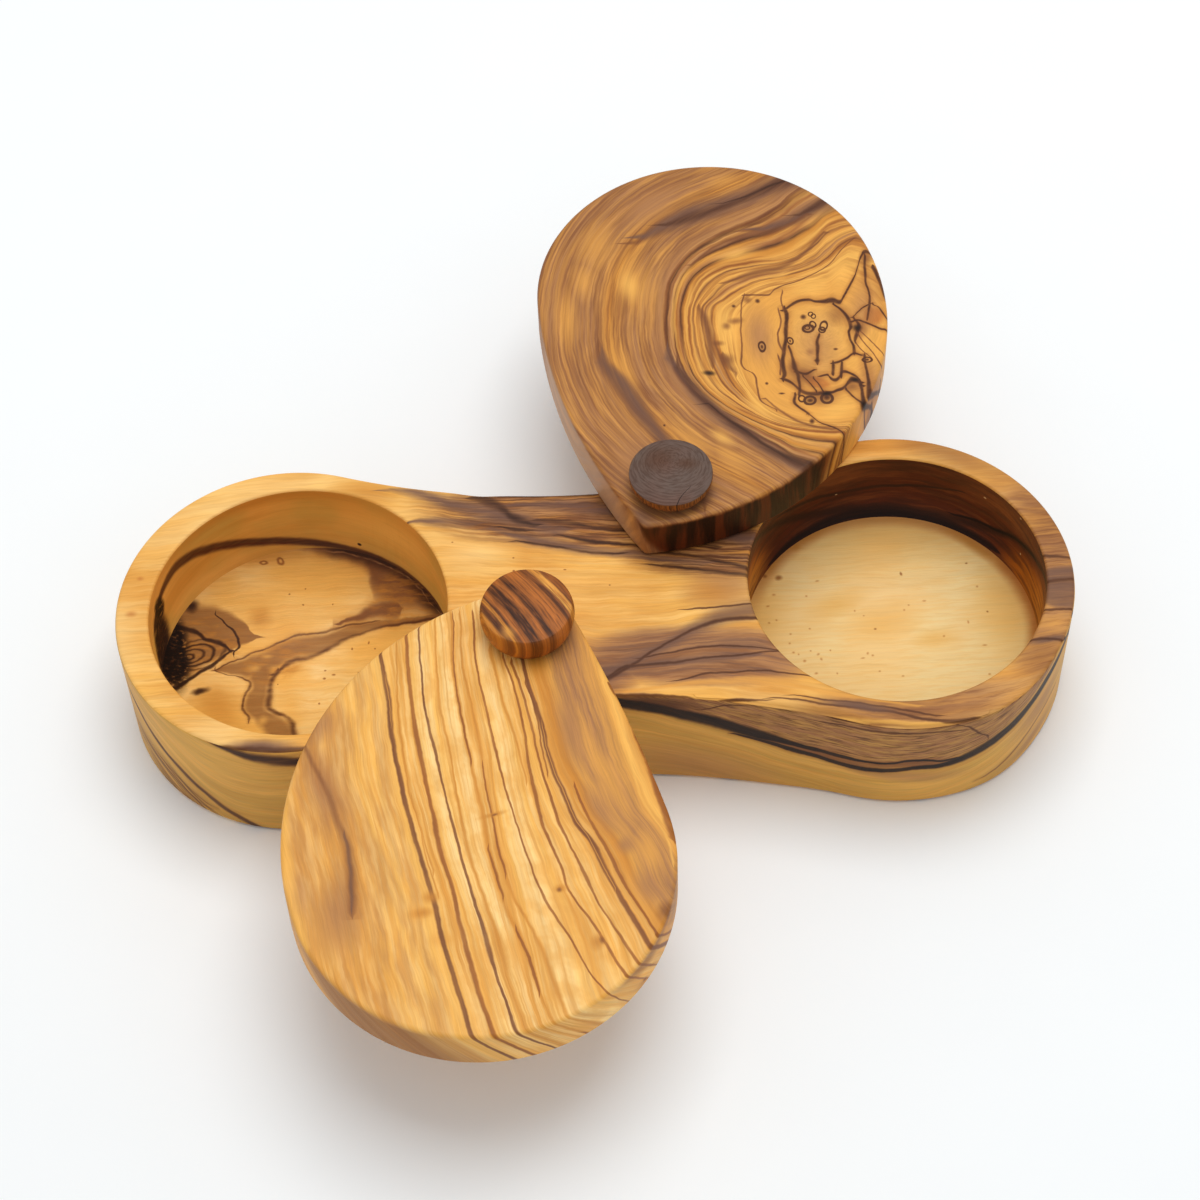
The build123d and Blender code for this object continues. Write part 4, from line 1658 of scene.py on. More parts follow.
LEFT_LID_FLOW = Flow(Course.ALONG_Y, (
    (-49.6, ((-132, -34.5), (-120, -37), (-110, -39.5), (-100, -41.3), (-90, -43), (-80, -45.3), (-70, -47.3),
             (-60, -49.6), (-50, -50.8), (-40, -51.5), (-25, -53.5), (0, -56))),
    (-40.6, ((-132, -23.5), (-120, -26.5), (-110, -29), (-100, -31.2), (-90, -34), (-80, -36.6), (-70, -38.6),
             (-60, -40.6), (-50, -42), (-40, -42.8), (-20, -44), (0, -45.5))),
    (-26.5, ((-132, -14), (-120, -17), (-110, -19), (-100, -20.5), (-90, -22), (-80, -24), (-70, -25.6),
             (-60, -26.5), (-50, -27.5), (-40, -29), (-30, -30), (-11, -31.5), (0, -32.5))),
    (-10.5, ((-132, 15), (-110, 10.5), (-103, 8), (-98, 5.5), (-92, 2.5), (-84, 0), (-78, -3), (-72, -6.5),
             (-66, -8.5), (-60, -10.5), (-50, -13), (-40, -15), (-30, -17), (0, -21))),
))
STRIPED_ZONE = Zone(first=-49.0, last=-11.0, border=2)
FIBROUS_ZONE = Zone(first=-7.5, last=4, border=1.5)
LEFT_MARGIN = Zone(first=-90.0, last=-51.0, border=2)

# Long russet stripes on cream, and a fibrous knotty right side
LEFT_LID_MARKS = (
    Bands(stops=(
        (-80, GOLD), (-66, GOLD), (-58, HONEY), (-50, HONEY), (-46, GOLD), (-43, HONEY), (-41, CREAM),
        (-38, HONEY), (-34, CREAM), (-32, GOLD), (-29, GOLD), (-27, HONEY), (-24, CREAM), (-21, HONEY),
        (-19, GOLD), (-17, HONEY), (-14, GOLD), (-8.5, AMBER), (-7, GOLD), (-4, TAN), (0, TAN), (4, GOLD),
        (6, HONEY), (8, GOLD), (10, AMBER), (14, ORANGE),
    )),
    Streaks(AMBER, 0.5, width=0.9, length=60, cover=0.4, seed=2, within=STRIPED_ZONE),
    Streaks(CREAM, 0.6, width=1.6, length=40, cover=0.45, seed=4, within=STRIPED_ZONE),
    Streaks(GOLD, 0.5, width=5, length=9, cover=0.4, seed=5, within=STRIPED_ZONE),
    Streaks(MAUVE, 0.25, width=0.5, length=14, cover=0.5, seed=6, within=FIBROUS_ZONE),
    Streaks(GOLD, 0.5, width=1.4, length=30, cover=0.5, seed=7, within=FIBROUS_ZONE),
    Streaks(TAN, 0.4, width=4, length=26, cover=0.5, seed=8, within=LEFT_MARGIN),
    Streaks(CREAM, 0.35, width=2, length=16, cover=0.45, seed=9, within=LEFT_MARGIN),
    Streaks(AMBER, 0.3, width=0.8, length=40, cover=0.4, seed=10, within=LEFT_MARGIN),
    Spots(GOLD, 0.8, ovals=(
        (-1, -62, 4, 26, 20), (4, -96, 5, 12, 25), (8, -84, 4, 10, 15), (-40, -104, 5, 3),
        (-23, -108, 6, 9, 10), (-46, -97, 5, 4), (-66, -100, 10, 12),
    )),
    Spots(TAN, 0.75, ovals=(
        (-67, -62, 7, 17, 20), (-69, -44, 6, 9, -30), (-64, -96, 9, 16), (-74, -92, 4, 12),
        (2.6, -82, 3.4, 3.6), (7, -94, 4, 8, 25), (-9, -50, 4, 16, 12), (-3, -72, 3.4, 12, 25),
    )),
    Veins(AMBER, 0.85, paths=(
        ((-49.9, -22, 0.7), (-49.7, -34, 0.7), (-48.8, -50, 0.9), (-47.6, -63, 0.8), (-45.2, -73, 0.7),
         (-43.2, -84, 0.8), (-41, -92, 0.8)),
        ((-40.3, -15, 0.9), (-40, -30, 0.9), (-39, -42, 1.4), (-37.6, -52, 1.1), (-36.3, -63, 0.7),
         (-35.2, -72, 1.2), (-34, -80, 1.8), (-31.6, -90, 1.5), (-29.6, -97, 2), (-28, -103, 2.8),
         (-26.8, -109, 3.2), (-25, -118, 2.8), (-22, -129, 2)),
        ((-36.4, -14, 0.8), (-36, -30, 0.9), (-34.5, -42, 1.6), (-33.1, -54, 1.4), (-31.3, -65, 1.5),
         (-29.6, -76, 1.8), (-27.6, -88, 2.2), (-25.6, -96, 1.8), (-22.6, -105, 2.2), (-19.4, -116, 1.8),
         (-16, -127, 1.6)),
        ((-34.3, -14, 1), (-33.6, -29, 0.9), (-32, -40, 1.3), (-30.5, -52, 1.5), (-29.4, -62, 1.9),
         (-27.9, -72, 1.5), (-26.2, -83, 2.2), (-24, -93, 1.6), (-20.6, -101, 1.4), (-18, -108, 1.9),
         (-15.8, -115, 2.2), (-12.8, -125, 1.8)),
        ((-26.8, -25, 1.2), (-25, -37, 1.3), (-22.8, -47, 1.4), (-20.6, -57, 1.1), (-19.4, -63, 0.8)),
        ((-16.8, -27, 1.2), (-15.2, -37, 1.2), (-13.6, -42, 2.2), (-12.2, -50, 2.2), (-10.4, -57.6, 2.2),
         (-8.4, -64, 2.2), (-5.8, -73, 1.9), (-2.6, -79.6, 1.9), (-0.2, -85, 2), (2.4, -93, 1.8),
         (5.4, -99.6, 1.8), (8.6, -106, 1.8)),
        ((-46.8, -66, 0.5), (-44.4, -76, 0.7), (-42, -86, 0.9)),
    )),
    Veins(RUSSET, 0.85, soft=0.65, paths=(
        ((-47.5, -18, 1), (-47, -30, 1.3), (-46, -40, 1.3), (-44.9, -50, 1.7), (-43.7, -58.4, 1.6),
         (-42.2, -69, 1.2), (-41.2, -75, 1.8), (-39.8, -82, 1.6), (-37.4, -92, 1.3), (-36.2, -100, 1.6),
         (-34.2, -109, 1.7), (-32.4, -118, 1.6), (-29, -130, 1.6)),
        ((-31.1, -14, 0.8), (-30.4, -28, 0.7), (-28.8, -40, 0.8), (-27.4, -50, 0.9), (-26.8, -54, 1.1),
         (-24.9, -63, 0.7), (-22.4, -74, 0.7), (-19.5, -85, 0.7), (-16, -96, 1), (-11.8, -105, 0.9),
         (-7.2, -114.4, 0.7), (-3.4, -120, 0.9)),
        ((-23.8, -27, 0.7), (-21.4, -37, 0.8), (-19.7, -48, 0.9), (-18.8, -58, 1), (-17.6, -66, 1.3),
         (-16.8, -72, 1.2), (-14.6, -80, 1), (-12, -87, 0.9), (-10.4, -94, 0.7), (-6.4, -101, 1),
         (-3, -108, 1), (1.2, -116, 1.1)),
        ((-21.8, -29, 1.1), (-19.6, -38, 0.8), (-17.7, -48, 0.9), (-16, -58, 0.8), (-14.2, -67, 1),
         (-12.4, -75, 1.1), (-9.2, -83, 0.8), (-6.6, -90, 1.3), (-5, -95, 0.8), (-1.8, -102, 0.8),
         (0.8, -107, 1.2), (3.8, -113, 1)),
        ((-18.8, -35, 0.5), (-16.8, -43, 0.6), (-15.6, -52, 0.6), (-14.2, -61, 0.6)),
        ((-8.6, -65, 0.8), (-5.2, -75, 1), (-1.6, -83, 1.3), (1.2, -91, 1.2), (5.6, -100, 1),
         (8.4, -105.6, 1)),
        ((-36, -14, 0.4), (-35.4, -35, 0.6), (-33.9, -47, 0.8), (-32.6, -57, 0.5)),
        ((-29.9, -58, 0.5), (-28.8, -68, 0.7), (-26.4, -82, 0.8), (-25.3, -88, 0.6)),
        ((-28.9, -81, 0.6), (-27.2, -89, 0.9), (-26, -94, 0.6)),
        ((-23.4, -103, 0.7), (-21.2, -109.4, 1), (-19.8, -114.6, 1.1), (-18.6, -119, 0.6)),
        ((1, -36, 0.6), (5.6, -48, 1.2), (9, -59, 2), (11.6, -68, 3), (14, -80, 3)),
    )),
    Veins(BROWN, 0.9, soft=0.65, paths=(
        ((-54, -23, 1.2), (-52.8, -31, 1.6), (-51.8, -37, 2), (-51.2, -46, 1.8), (-50.4, -55, 1.6),
         (-48.6, -65, 1.6), (-46.6, -75, 1.6), (-44.2, -85, 1.6), (-42, -95, 1.8), (-39.9, -105, 1.6),
         (-37.6, -115, 1.6), (-35, -126, 1.6), (-33.8, -132, 1.6)),
        ((-44.3, -16, 0.7), (-43.7, -32, 0.7), (-42.2, -45, 0.9), (-40.6, -55, 1), (-38.9, -65, 0.7),
         (-36.9, -75, 1), (-34.9, -85, 0.9), (-32.5, -95, 1.1), (-31, -101, 1.3), (-29.8, -107, 1.7),
         (-28.2, -114, 1), (-26.3, -121, 0.9), (-24.2, -129, 1.3)),
        ((-19.4, -27, 1.2), (-17.6, -38, 1.4), (-15.6, -46, 1.6), (-14.2, -54, 1.5), (-12.4, -62, 1.8),
         (-10.4, -69, 1.8), (-8.2, -75.4, 1.9), (-4.6, -81.4, 2), (-3.1, -86, 2), (-0.8, -92, 1.8),
         (2.2, -99, 1.9), (5.4, -106, 1.9), (7.8, -111, 2)),
    )),
    Veins(GOLD, 0.75, paths=(
        ((-15.4, -47, 0.3), (-13.6, -57, 0.4), (-11.2, -66, 0.5), (-8.6, -74, 0.5), (-5.4, -80, 0.4),
         (-3.2, -86, 0.5), (-0.4, -93, 0.4)),
        ((-52.6, -31, 0.2), (-51.6, -38, 0.4), (-51.1, -45, 0.2)),
    )),
    Veins(BROWN, 0.55, halo=3.5, paths=(
        ((-74, -46, 1.5), (-70, -55, 2.4), (-67, -61, 2.4), (-64.5, -70, 2.6), (-62.4, -77, 3.6),
         (-61.2, -83, 4.4), (-60.8, -90, 4), (-60.7, -96, 2.4)),
    )),
    Veins(MAUVE, 0.6, paths=(((-62.8, -75, 0.8), (-61.6, -81, 1.6), (-60.9, -88, 1.6), (-60.8, -95, 0.8)),)),
    Veins(HONEY, 0.8, paths=(
        ((0, -36, 0.6), (4, -50, 1), (5.6, -60, 1.2), (6.8, -68, 1.2), (9.4, -74, 1), (12.6, -81, 1),
         (13.6, -87, 1)),
        ((-77, -62, 3), (-76.4, -76, 5), (-75, -90, 6), (-72, -104, 5)),
    )),
    Spots(AMBER, 0.8, ovals=(
        (-12.4, -92.6, 2.6, 1.6, 10), (-5, -107, 2.6, 3), (-28, -71.6, 5, 1, 15), (-43, -93, 3, 2.4),
        (-45, -97, 4, 2),
    )),
    Spots(BROWN, 0.7, ovals=(
        (-12.8, -93, 1, 0.9, 20), (-4, -106.6, 0.9, 1.5, 10), (-27.6, -71.6, 1.2, 0.5, 20),
        (11, -100, 3, 4, -20),
    )),
    # Painted shade: the front side faces darkened below the top
    Below(BROWN, 0.5, height=48.3, border=0.7, within=Spots(
        soft=0.5, ovals=((-60, -116, 26, 12, -38), (8, -112, 16, 10, 50)),
    )),
)

LEFT_LID_FIGURE = OliveWood(
    name="olive wood, striped board", ground=CREAM, mottle=HONEY, low=(-80, -135), high=(20, 5),
    flow=LEFT_LID_FLOW, lean=(-0.9, 0.5), top=49.4, wobble=0.5, marks=LEFT_LID_MARKS,
)

RING_FLOW = Flow(Course.AROUND, centre=(62, 72), guides=(
    (0, ((-180, 0.5), (180, 0.5))),
    (22, ((-112, 19), (-100, 15), (-70, 15), (-40, 18), (-20, 20), (-4, 21.1), (10, 21.9), (30, 24.2),
          (51, 28.4), (65, 30.9), (80, 32), (110, 33))),
    (28, ((-112, 34.5), (-105.4, 30.1), (-99, 25.3), (-87.3, 21), (-70, 20.2), (-49.4, 23), (-37, 25),
          (-27, 27), (-15.4, 29.5), (0, 28.5), (10, 28.3), (30, 29.3), (51, 31.5), (65, 33), (80, 33.5),
          (110, 34.5))),
    (34, ((-112, 40), (-99.7, 35.5), (-90, 29), (-74.4, 26.2), (-58, 28.3), (-42.5, 32.6), (-33.2, 34.7),
          (-29, 35), (-15, 34.5), (0, 34), (24, 34.9), (50, 34.3), (70, 34.5), (90, 35), (110, 36))),
    (41, ((-112, 62), (-100, 57), (-87.7, 49), (-76.6, 43.2), (-65.9, 41.6), (-55.6, 42.4), (-42.2, 43.2),
          (-27.8, 42.9), (-11.2, 41.3), (5.6, 40.7), (20.2, 40.5), (33.7, 39.7), (47, 39.6), (65.3, 40.7),
          (80, 45.7), (110, 50))),
))
OUTER_ZONE = Zone(first=43, last=90, border=2)
LINED_ZONE = Zone(first=22, last=41, border=1.5)
# The lid's front side faces, which get painted shade
SHADED_FRONT_SIDE = Spots(soft=0.3, ovals=((38, 17, 33, 12, 28), (17, 10, 8, 7)))

# Rings around a burl, whose veins run like drawn lines; brown towards the edge
RIGHT_LID_MARKS = (
    Bands(stops=(
        (0, HONEY), (14, GOLD), (20.5, GOLD), (22.2, GOLD), (25, HONEY), (26.6, GOLD), (27.1, AMBER),
        (27.6, BROWN), (28.2, GOLD), (29.2, TAN), (29.8, GOLD), (30.3, BROWN), (30.8, GOLD), (32.2, GOLD),
        (32.8, BROWN), (33.3, GOLD), (34.2, RUSSET), (34.7, GOLD), (35.6, AMBER), (36.2, UMBER), (36.7, TAN),
        (37.6, AMBER), (38.2, UMBER), (38.7, TAN), (39.6, TAN), (40.2, UMBER), (40.8, BROWN), (41.4, TAN),
        (43, TAN), (46, TAN), (50, TAN), (55, AMBER), (59, TAN), (64, TAN), (70, TAN), (90, TAN),
    )),
    Streaks(GOLD, 0.55, width=3, length=16, cover=0.4, seed=1, within=OUTER_ZONE),
    Streaks(BROWN, 0.5, width=2.6, length=20, cover=0.45, seed=3, within=OUTER_ZONE),
    Streaks(BROWN, 0.5, width=0.8, length=25, cover=0.45, seed=13, within=OUTER_ZONE),
    Streaks(GOLD, 0.4, width=0.8, length=25, cover=0.45, seed=14, within=OUTER_ZONE),
    Streaks(RUSSET, 0.6, width=0.8, length=45, cover=0.45, seed=5, within=LINED_ZONE),
    Streaks(HONEY, 0.6, width=1.2, length=30, cover=0.4, seed=7, within=LINED_ZONE),
    Spots(GOLD, 0.6, ovals=(
        (15, 90, 8, 17, 5), (5, 105, 7, 13, -20), (27, 36, 6, 12, 40), (36, 30, 5, 10, 45), (-4, 80, 5, 16),
        (41, 126, 8, 4, 20), (1, 92, 5, 10), (10, 60, 5, 14, 10),
    )),
    Spots(HONEY, 0.75, ovals=(
        (13, 90, 4, 8, 5), (70, 91, 6, 9, -30), (37, 74, 4, 12), (42, 99, 10, 4, 15), (64, 44, 10, 5, 30),
        (61, 86, 9, 5, 20), (34, 37, 3, 6, 45), (44, 46, 3, 8, 40),
    )),
    Spots(TAN, 0.8, ovals=((46, 70, 6, 14), (20, 118, 16, 8, 40), (12, 30, 10, 14))),
    Veins(BROWN, 0.7, broken=0.35, taper=8, paths=(
        ((16, 105, 3), (24, 110, 9), (32, 114, 10), (40, 117, 9), (48, 120, 9), (58, 125, 10), (68, 128, 9)),
        ((48, 107, 3), (54, 108.5, 5), (62, 113, 8), (72, 119, 9)),
        ((4, 66, 6), (10, 54, 9), (16, 42, 9), (22, 30, 8), (28, 20, 7)),
    )),
    Veins(MAUVE, 0.85, broken=0.35, taper=7, paths=(
        ((18, 107, 4), (24, 111, 9), (30, 114, 14), (36, 115.6, 13), (42, 117.6, 11), (50, 121, 11),
         (58, 125, 13), (68, 127, 15)),
        ((50, 107.4, 3), (58, 110.5, 6), (64, 114, 9), (72, 118, 12)),
        ((5, 64, 5), (10, 55, 8), (15, 44, 7), (21, 34, 5)),
        ((22, 64, 4), (27, 55, 6.4), (31, 48, 8), (35, 43, 8.6), (40, 38, 9), (45, 33, 9), (50, 28.5, 9),
         (56, 24, 9)),
    )),
    Veins(UMBER, 0.7, broken=0.4, taper=6, paths=(
        ((24, 111, 2), (30, 113, 6), (36, 115, 5), (42, 117, 4), (50, 121, 5.4), (58, 125, 7), (66, 128, 7)),
        ((60, 112, 1.6), (65, 115, 4.6), (70, 118, 6)),
        ((24, 61, 2), (29, 51.5, 4.4), (33, 45.8, 5.2), (38, 40, 5.6), (43, 35, 5.6), (48, 30.4, 5.4),
         (56, 24.6, 6)),
    )),
    Veins(DARK, 0.7, broken=0.3, taper=5, paths=(
        ((31, 48.6, 0.8), (36, 42.6, 1.8), (41, 37.6, 2.2), (46, 32.8, 2.4), (54, 27, 3)),
        ((40, 117.6, 0.6), (46, 119.6, 1.2), (52, 122.6, 1.4), (58, 125, 1.2)),
    )),
    Veins(BROWN, 0.75, paths=(
        ((31, 81, 2), (32.6, 74, 4), (33, 68, 3.6), (33, 61, 2)),
        ((30, 96, 1), (38, 103, 2.6), (46, 105.5, 3), (54, 107, 2.6), (62, 112, 2)),
        ((38, 89, 1), (46, 92, 4), (54, 94, 4), (60, 98, 3), (66, 105, 2)),
        ((46, 49, 1), (50, 44, 1.8), (56, 39.5, 1.6), (62, 37.5, 1)),
        ((36, 64, 3), (37, 61, 4.4), (39, 58, 1.6)),
    )),
    Spots(BROWN, 0.65, ovals=(
        (44, 82.6, 1.8, 1.6), (35, 68.4, 2.4, 1.4), (37.6, 74, 1.6, 1.8), (40, 75.6, 3.4, 1.6, 10),
        (37, 62.6, 3, 3, 20), (59, 71.8, 2.6, 2.6), (58.8, 63.8, 1.6, 1.8), (57, 56, 5, 2.6, -40),
        (72.5, 71, 3.4, 4.4), (54, 59, 2.2, 4), (68.4, 51.4, 3, 3), (76.5, 95, 2.6, 3.4),
    )),
    Spots(ORANGE, 0.8, soft=0.6, ovals=((76.4, 75, 3.4, 4.2), (60, 53.4, 4.4, 2.4, -20))),
    Spots(TAN, 0.6, ovals=((61, 66, 10, 17), (74, 78, 6, 14, -10), (74, 52, 6, 12))),
    Spots(BROWN, 0.5, ovals=((56, 56, 6, 7), (67, 76, 5, 6), (60, 48, 7, 4))),
    Veins(UMBER, soft=0.75, taper=1, halo=1.8, paths=(
        ((53, 78.4, 1.2), (54.2, 79.4, 1.5), (56, 80.8, 1.6), (58, 81.6, 1.5), (60, 81.7, 1.4), (62, 81, 1.4),
         (64, 81, 2.2), (66, 81.2, 2.8), (68, 80.4, 2.2), (69, 82, 1.8), (70.4, 84.4, 1.8), (71.8, 87, 2),
         (73, 89.6, 1.5), (74, 92.6, 1.4), (75, 95.4, 1.6), (76.6, 97.4, 2), (79, 95.6, 1.8)),
        ((53.4, 79.4, 1.4), (53.8, 76.6, 1.6), (53.5, 74, 1.4), (53.2, 71.4, 1.8), (53.1, 69, 1.4),
         (52.4, 66, 1.6), (51.8, 63, 1.5), (51.3, 60, 1.8), (51.5, 57, 1.6), (51, 55, 1.2)),
        ((51, 55.4, 1.4), (53, 54, 1.8), (54.3, 52, 1.8), (55.6, 50.6, 2), (57.4, 49.8, 1.8), (59.2, 49.7, 2),
         (61, 50, 1.6), (62.8, 49.9, 1.3), (64.6, 50.5, 1.5), (66.5, 51.3, 1.6), (67.6, 52.8, 2),
         (68.8, 53.8, 3), (70.2, 53.2, 2.8), (71.2, 51.4, 1.6)),
        ((66.2, 79.8, 1), (68, 78, 1.3), (69.2, 76.2, 1.4), (70, 74, 1.5), (70.2, 72, 1.5), (69.4, 69.6, 1.1),
         (69.5, 67, 1), (70.1, 65, 1.1), (70.2, 62.6, 1.3)),
        ((60.5, 55.5, 0.8), (62.5, 55.8, 1), (63.3, 54.6, 1.5), (64.4, 53.9, 1.7), (65.6, 54.8, 1.7),
         (66.8, 56.6, 1.6), (68.4, 56, 1.3), (69.8, 54.8, 1.6), (71, 52.6, 1.5)),
        ((71.2, 74.8, 0.8), (72.4, 72, 1.4), (71.6, 69.6, 1.6), (70.6, 66.6, 0.9)),
        ((70.6, 53, 1.6), (70.8, 50, 1.2), (70.8, 47, 1.6), (70.6, 44, 2.2)),
        ((72.7, 61.4, 1), (72.7, 58.6, 1), (72.9, 55, 1.1), (72.7, 51.5, 1.7), (72.3, 47.6, 1.9)),
        ((78, 92, 1.8), (79.2, 87, 1.4), (80.4, 81, 1.2)),
    )),
    Veins(UMBER, 0.95, soft=0.8, taper=0.8, halo=1.2, paths=(
        ((53.5, 66, 0.9), (54.2, 62, 1.2), (54.3, 59, 1.9), (54.9, 56, 1.4), (54.9, 53, 1.2),
         (54.5, 49.6, 1.2)),
        ((64.4, 59.8, 1.1), (64.3, 58, 1.3), (63.9, 56, 1.3)),
        ((66.8, 59.8, 0.9), (66.4, 57.5, 1.2), (66, 55, 1.2)),
        ((64.2, 59.4, 1.1), (66.5, 60.2, 1.3), (68.5, 61.2, 1.3), (70.3, 62.4, 1.1), (72, 61.6, 0.8)),
        ((54.6, 57.4, 1.3), (57, 56.6, 1.2), (59.2, 57.7, 0.9)),
        ((56, 56, 0.7), (57.6, 53.5, 0.7), (59, 50.6, 0.8)),
        ((58.6, 55, 0.7), (60, 52.8, 0.7), (60.8, 50.4, 0.8)),
        ((53.6, 50, 1.1), (53, 47.6, 1.1), (53.8, 46, 1.3), (55, 44.8, 1.3), (56.4, 43.2, 1.1)),
        ((56.4, 43.2, 1), (57.6, 41.6, 0.8), (59, 40, 0.7), (61.5, 38.6, 0.8), (63.8, 37.2, 1),
         (65.2, 35.6, 1)),
        ((66.8, 50.6, 1), (68.5, 48, 1), (70.5, 45.8, 1.3), (72, 44.6, 1.5)),
        ((70.6, 73.5, 1.1), (72, 74, 0.9), (74, 73, 1.1), (76, 71.6, 1.1), (78, 70.2, 1.1), (81, 70, 1.1)),
        ((71, 75, 0.8), (72.5, 77, 0.8), (74.6, 78.6, 0.8), (76, 79.4, 0.9)),
        ((76.2, 96, 0.9), (75.8, 91, 1.1), (75.6, 87, 0.9), (76, 83, 0.8), (75.8, 79.4, 1.1),
         (75.2, 76.5, 0.9), (74.6, 74, 0.8)),
        ((76.4, 79, 0.8), (78, 78, 0.7), (79, 75.5, 0.8), (80.4, 72.5, 0.8)),
        ((61.7, 69.4, 0.9), (61, 67, 1.3), (60.9, 65, 1.5), (60.5, 62.5, 1.2), (60.2, 60, 1.4)),
    )),
    Veins(BROWN, 0.9, soft=0.8, taper=0.8, paths=(
        ((43.4, 84.4, 0.6), (42.6, 82.6, 0.7), (41.9, 79, 0.7), (41.5, 75, 0.7), (41.2, 71, 0.7),
         (41, 66, 0.8), (40.7, 61.5, 0.8), (41.4, 59.2, 0.8), (43.2, 57.8, 0.8), (44, 56, 0.8),
         (44.1, 52, 0.8), (44.6, 48.6, 0.8), (48.6, 45, 0.6)),
        ((43.2, 84.3, 1), (46, 84.2, 0.9), (49.5, 84, 0.9), (51.5, 85.8, 0.9), (54, 87, 0.8), (57, 88, 0.7),
         (60, 89.4, 0.7), (63, 91, 0.7), (66, 93.5, 0.7), (69, 97, 0.7), (74, 102.5, 0.7)),
        ((51.8, 79, 0.6), (52.2, 75, 0.7), (51, 70, 0.8), (51.2, 67, 0.9), (52, 64, 0.8)),
        ((53.6, 85, 0.6), (52.8, 81.6, 0.6), (53.2, 79, 0.6)),
        ((71.4, 70, 0.7), (73, 66, 0.6), (75, 62, 0.6), (77, 57, 0.6)),
        ((72.6, 70, 0.6), (75.4, 65.4, 0.6), (78, 61, 0.6)),
        ((70.8, 66, 0.6), (72.4, 63, 0.6), (74.4, 60.6, 0.6)),
        ((50.4, 63, 0.6), (50.8, 60, 0.8), (50.4, 57, 0.8)),
    )),
    Spots(UMBER, 0.92, soft=0.6, hollow=0.55, ovals=(
        (46.5, 66.3, 1.2, 2.2), (54.1, 67.9, 1, 1.5, 10), (60, 76.6, 0.8, 0.9), (60.7, 75.9, 0.8, 1),
        (59, 71.7, 1.8, 1.7), (60.3, 73, 1, 1.5, 10), (63, 72.4, 1.2, 2.1, -15), (62.5, 71, 1.1, 1.3),
        (58.8, 72, 0.8, 0.8), (73.3, 60, 1.5, 1.1), (55, 48.4, 1.1, 1.4), (57, 47.6, 1.9, 1.8),
        (61.5, 48, 2, 2.1),
    )),
    Spots(UMBER, 0.9, soft=0.9, ovals=(
        (58, 75.8, 1.1, 1.2), (46.5, 66.2, 0.6, 1.2), (54.1, 67.9, 0.4, 0.7), (57, 47.6, 1.3, 1.2),
        (61.5, 48.4, 1.5, 1.7), (60.2, 60.8, 1, 0.8), (65.6, 64.4, 0.9, 0.6), (46.6, 82, 0.9, 1.1),
        (40, 80.8, 0.8, 0.8), (46.6, 54, 0.6, 0.7), (50.2, 50.4, 1.2, 0.5), (57, 40.6, 1, 1.3),
        (19.5, 42, 0.5, 0.6), (73.3, 60, 0.7, 0.6),
    )),
    Spots(BLACK, 0.85, ovals=(
        (32, 58.4, 2.4, 1.2, -15), (71.8, 71.2, 1.8, 1.8), (70.8, 45.6, 1.4, 2), (61.5, 49.6, 2, 1),
        (69.4, 53.6, 1.6, 1),
    )),
    Spots(MAUVE, 0.6, ovals=((12, 13, 6, 6), (24, 16, 12, 4, 25))),
    # Painted light: the lid's left side face is painted pale
    Below(ROSE, 0.7, height=48.2, border=0.7, within=Spots(soft=0.5, ovals=((-4, 46, 8, 40, 18),))),
    # Painted shade: the front side faces are darkened, with black streaks
    Below(CHESTNUT, 0.96, height=48.2, border=0.7, within=SHADED_FRONT_SIDE),
    Streaks(BLACK, 0.8, width=3, length=14, cover=0.5, seed=15, within=Below(height=48.2, within=SHADED_FRONT_SIDE)),
)

RIGHT_LID_FIGURE = OliveWood(
    name="olive wood, burl board", ground=GOLD, mottle=AMBER, low=(-15, 0), high=(85, 140), flow=RING_FLOW,
    lean=(-0.4, 0.3), top=49.4, wobble=0.5, contrast=0.14, marks=RIGHT_LID_MARKS,
)

# Side grain in strong stripes
LEFT_KNOB_MARKS = (
    Bands(shift=0.5, stops=(
        (-12, AMBER), (-11, UMBER), (-9.9, UMBER), (-9.4, AMBER), (-8.7, AMBER), (-8.3, UMBER), (-7.7, BROWN),
        (-7.2, ORANGE), (-6.2, RUSSET), (-5.5, DARK), (-4.2, UMBER), (-3.4, DARK), (-2.9, RUSSET),
        (-1.6, ORANGE), (-0.7, RUSSET), (-0.4, DARK), (0.3, UMBER), (0.8, DARK), (1.3, RUSSET), (3.5, ORANGE),
        (5, ORANGE), (6.4, RUSSET), (7.2, UMBER), (8.2, BROWN), (8.8, GOLD), (10.2, GOLD), (10.8, BROWN),
        (12.5, RUSSET), (14, UMBER), (16, BROWN),
    )),
    Streaks(UMBER, 0.5, width=0.5, length=6, cover=0.4, seed=2),
    Streaks(ORANGE, 0.45, width=0.6, length=5, cover=0.4, seed=4),
    Spots(GOLD, 0.7, ovals=((-22.4, -26.5, 2.6, 3.6, 30),)),
    Below(EMBER, 0.35, height=58.2, border=0.4),
)
LEFT_KNOB_FIGURE = OliveWood(
    name="olive wood, striped turning", ground=RUSSET, mottle=BROWN, low=(-32, -34), high=(-4, -4),
    flow=Flow(Course.ALONG_Y, ((0, ((-34, -8.5), (-26, -13.2), (-18.6, -17.6), (-10, -23.6), (-4, -28.6))),)),
    wobble=0.35, fibre=(0.3, 2), contrast=0.2, marks=LEFT_KNOB_MARKS,
)

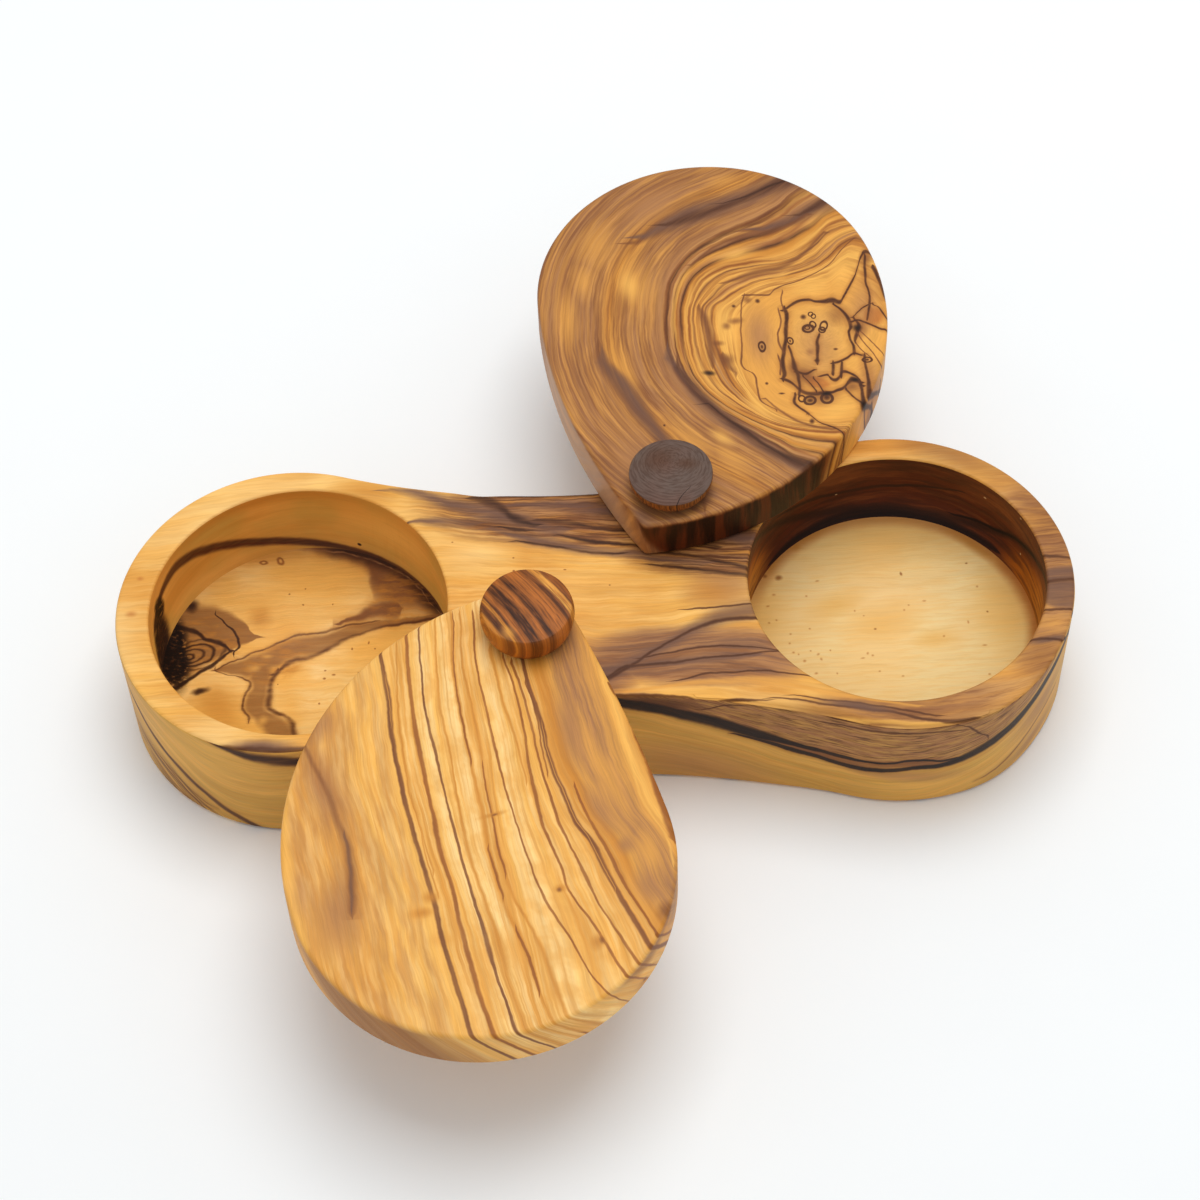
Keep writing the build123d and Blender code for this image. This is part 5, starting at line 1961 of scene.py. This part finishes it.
# Dull dark end grain with a drying crack
RIGHT_KNOB_MARKS = (
    Streaks(DARK, 0.3, width=0.5, length=16, cover=0.45, seed=2),
    Spots(UMBER, 0.45, ovals=((17, 26, 7, 6, 30), (24, 24, 5, 3))),
    Below(EMBER, 0.6, height=54.75, border=0.2),
    Streaks(DARK, 0.7, width=0.6, length=1.2, cover=0.45, seed=6, within=Below(height=54.7, border=0.25)),
    Veins(BLACK, 0.9, soft=0.6, broken=0, taper=0.6, paths=(
        ((20.6, 11.6, 0.34), (21.6, 13.6, 0.3), (22.8, 15.2, 0.24), (24.4, 16.8, 0.14)),
    )),
)
RIGHT_KNOB_FIGURE = OliveWood(
    name="olive wood, end grain turning", ground=ASH, mottle=MAUVE, low=(5, 5), high=(35, 40),
    flow=Flow(Course.AROUND, centre=(20.4, 25), guides=(
        (0, ((-180, 0.5), (180, 0.5))), (20, ((-180, 20), (180, 20))),
    )),
    wobble=0.3, fibre=(0.25, 8), contrast=0.12, roughness=(0.5, 0.68), marks=RIGHT_KNOB_MARKS,
)

# Plain beech: an even, pale, dull wood that the eye reads as a bought dowel
DOWEL_FIGURE = OliveWood(
    name="beech dowel", ground=BEECH, mottle=TAN, low=(-30, -30), high=(30, 30), flow=STRAIGHT_X,
)


def main() -> None:
    """Build the box, its lids and knobs, then the room."""
    body = BoxBody().build()
    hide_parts("box_body")
    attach(body, "base")
    log.info("made %s with %d faces", body.name, len(body.data.polygons))
    left_pivot, right_pivot = BoxBody.pivots
    parts = (
        Lid(name="left_lid", body="left_lid", figure=LEFT_LID_FIGURE, pivot=left_pivot,
            centre=(-30.9, -84.3), radius=45.5, tip=(-11.0, -5.4), flanks=(446.0, 71.5)),
        Lid(name="right_lid", body="right_lid", figure=RIGHT_LID_FIGURE, pivot=right_pivot,
            centre=(33.9, 86.8), radius=45.3, tip=(12.4, 10.4), flanks=(151.0, 69.3)),
        Knob(name="left_knob", figure=LEFT_KNOB_FIGURE, pivot=left_pivot, base_radius=9.8, radius=11.55,
             face_radius=10.9, widest=5.6, edge_height=8.4, height=9.2),
        Knob(name="right_knob", figure=RIGHT_KNOB_FIGURE, pivot=right_pivot, base_radius=7.6, radius=10.55,
             face_radius=10.5, widest=4.3, edge_height=5.1, height=6.7),
    )
    for part in parts:
        piece = part.build()
        log.info("made %s with %d faces", piece.name, len(piece.data.polygons))
    dowel = DOWEL_FIGURE.make()
    for name in ("left_pin", "right_pin"):
        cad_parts[name].data.materials.clear()
        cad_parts[name].data.materials.append(dowel)
    Studio().build()


if __name__ == "__main__":
    logging.basicConfig(level=logging.INFO, format="%(name)s: %(message)s")
    main()
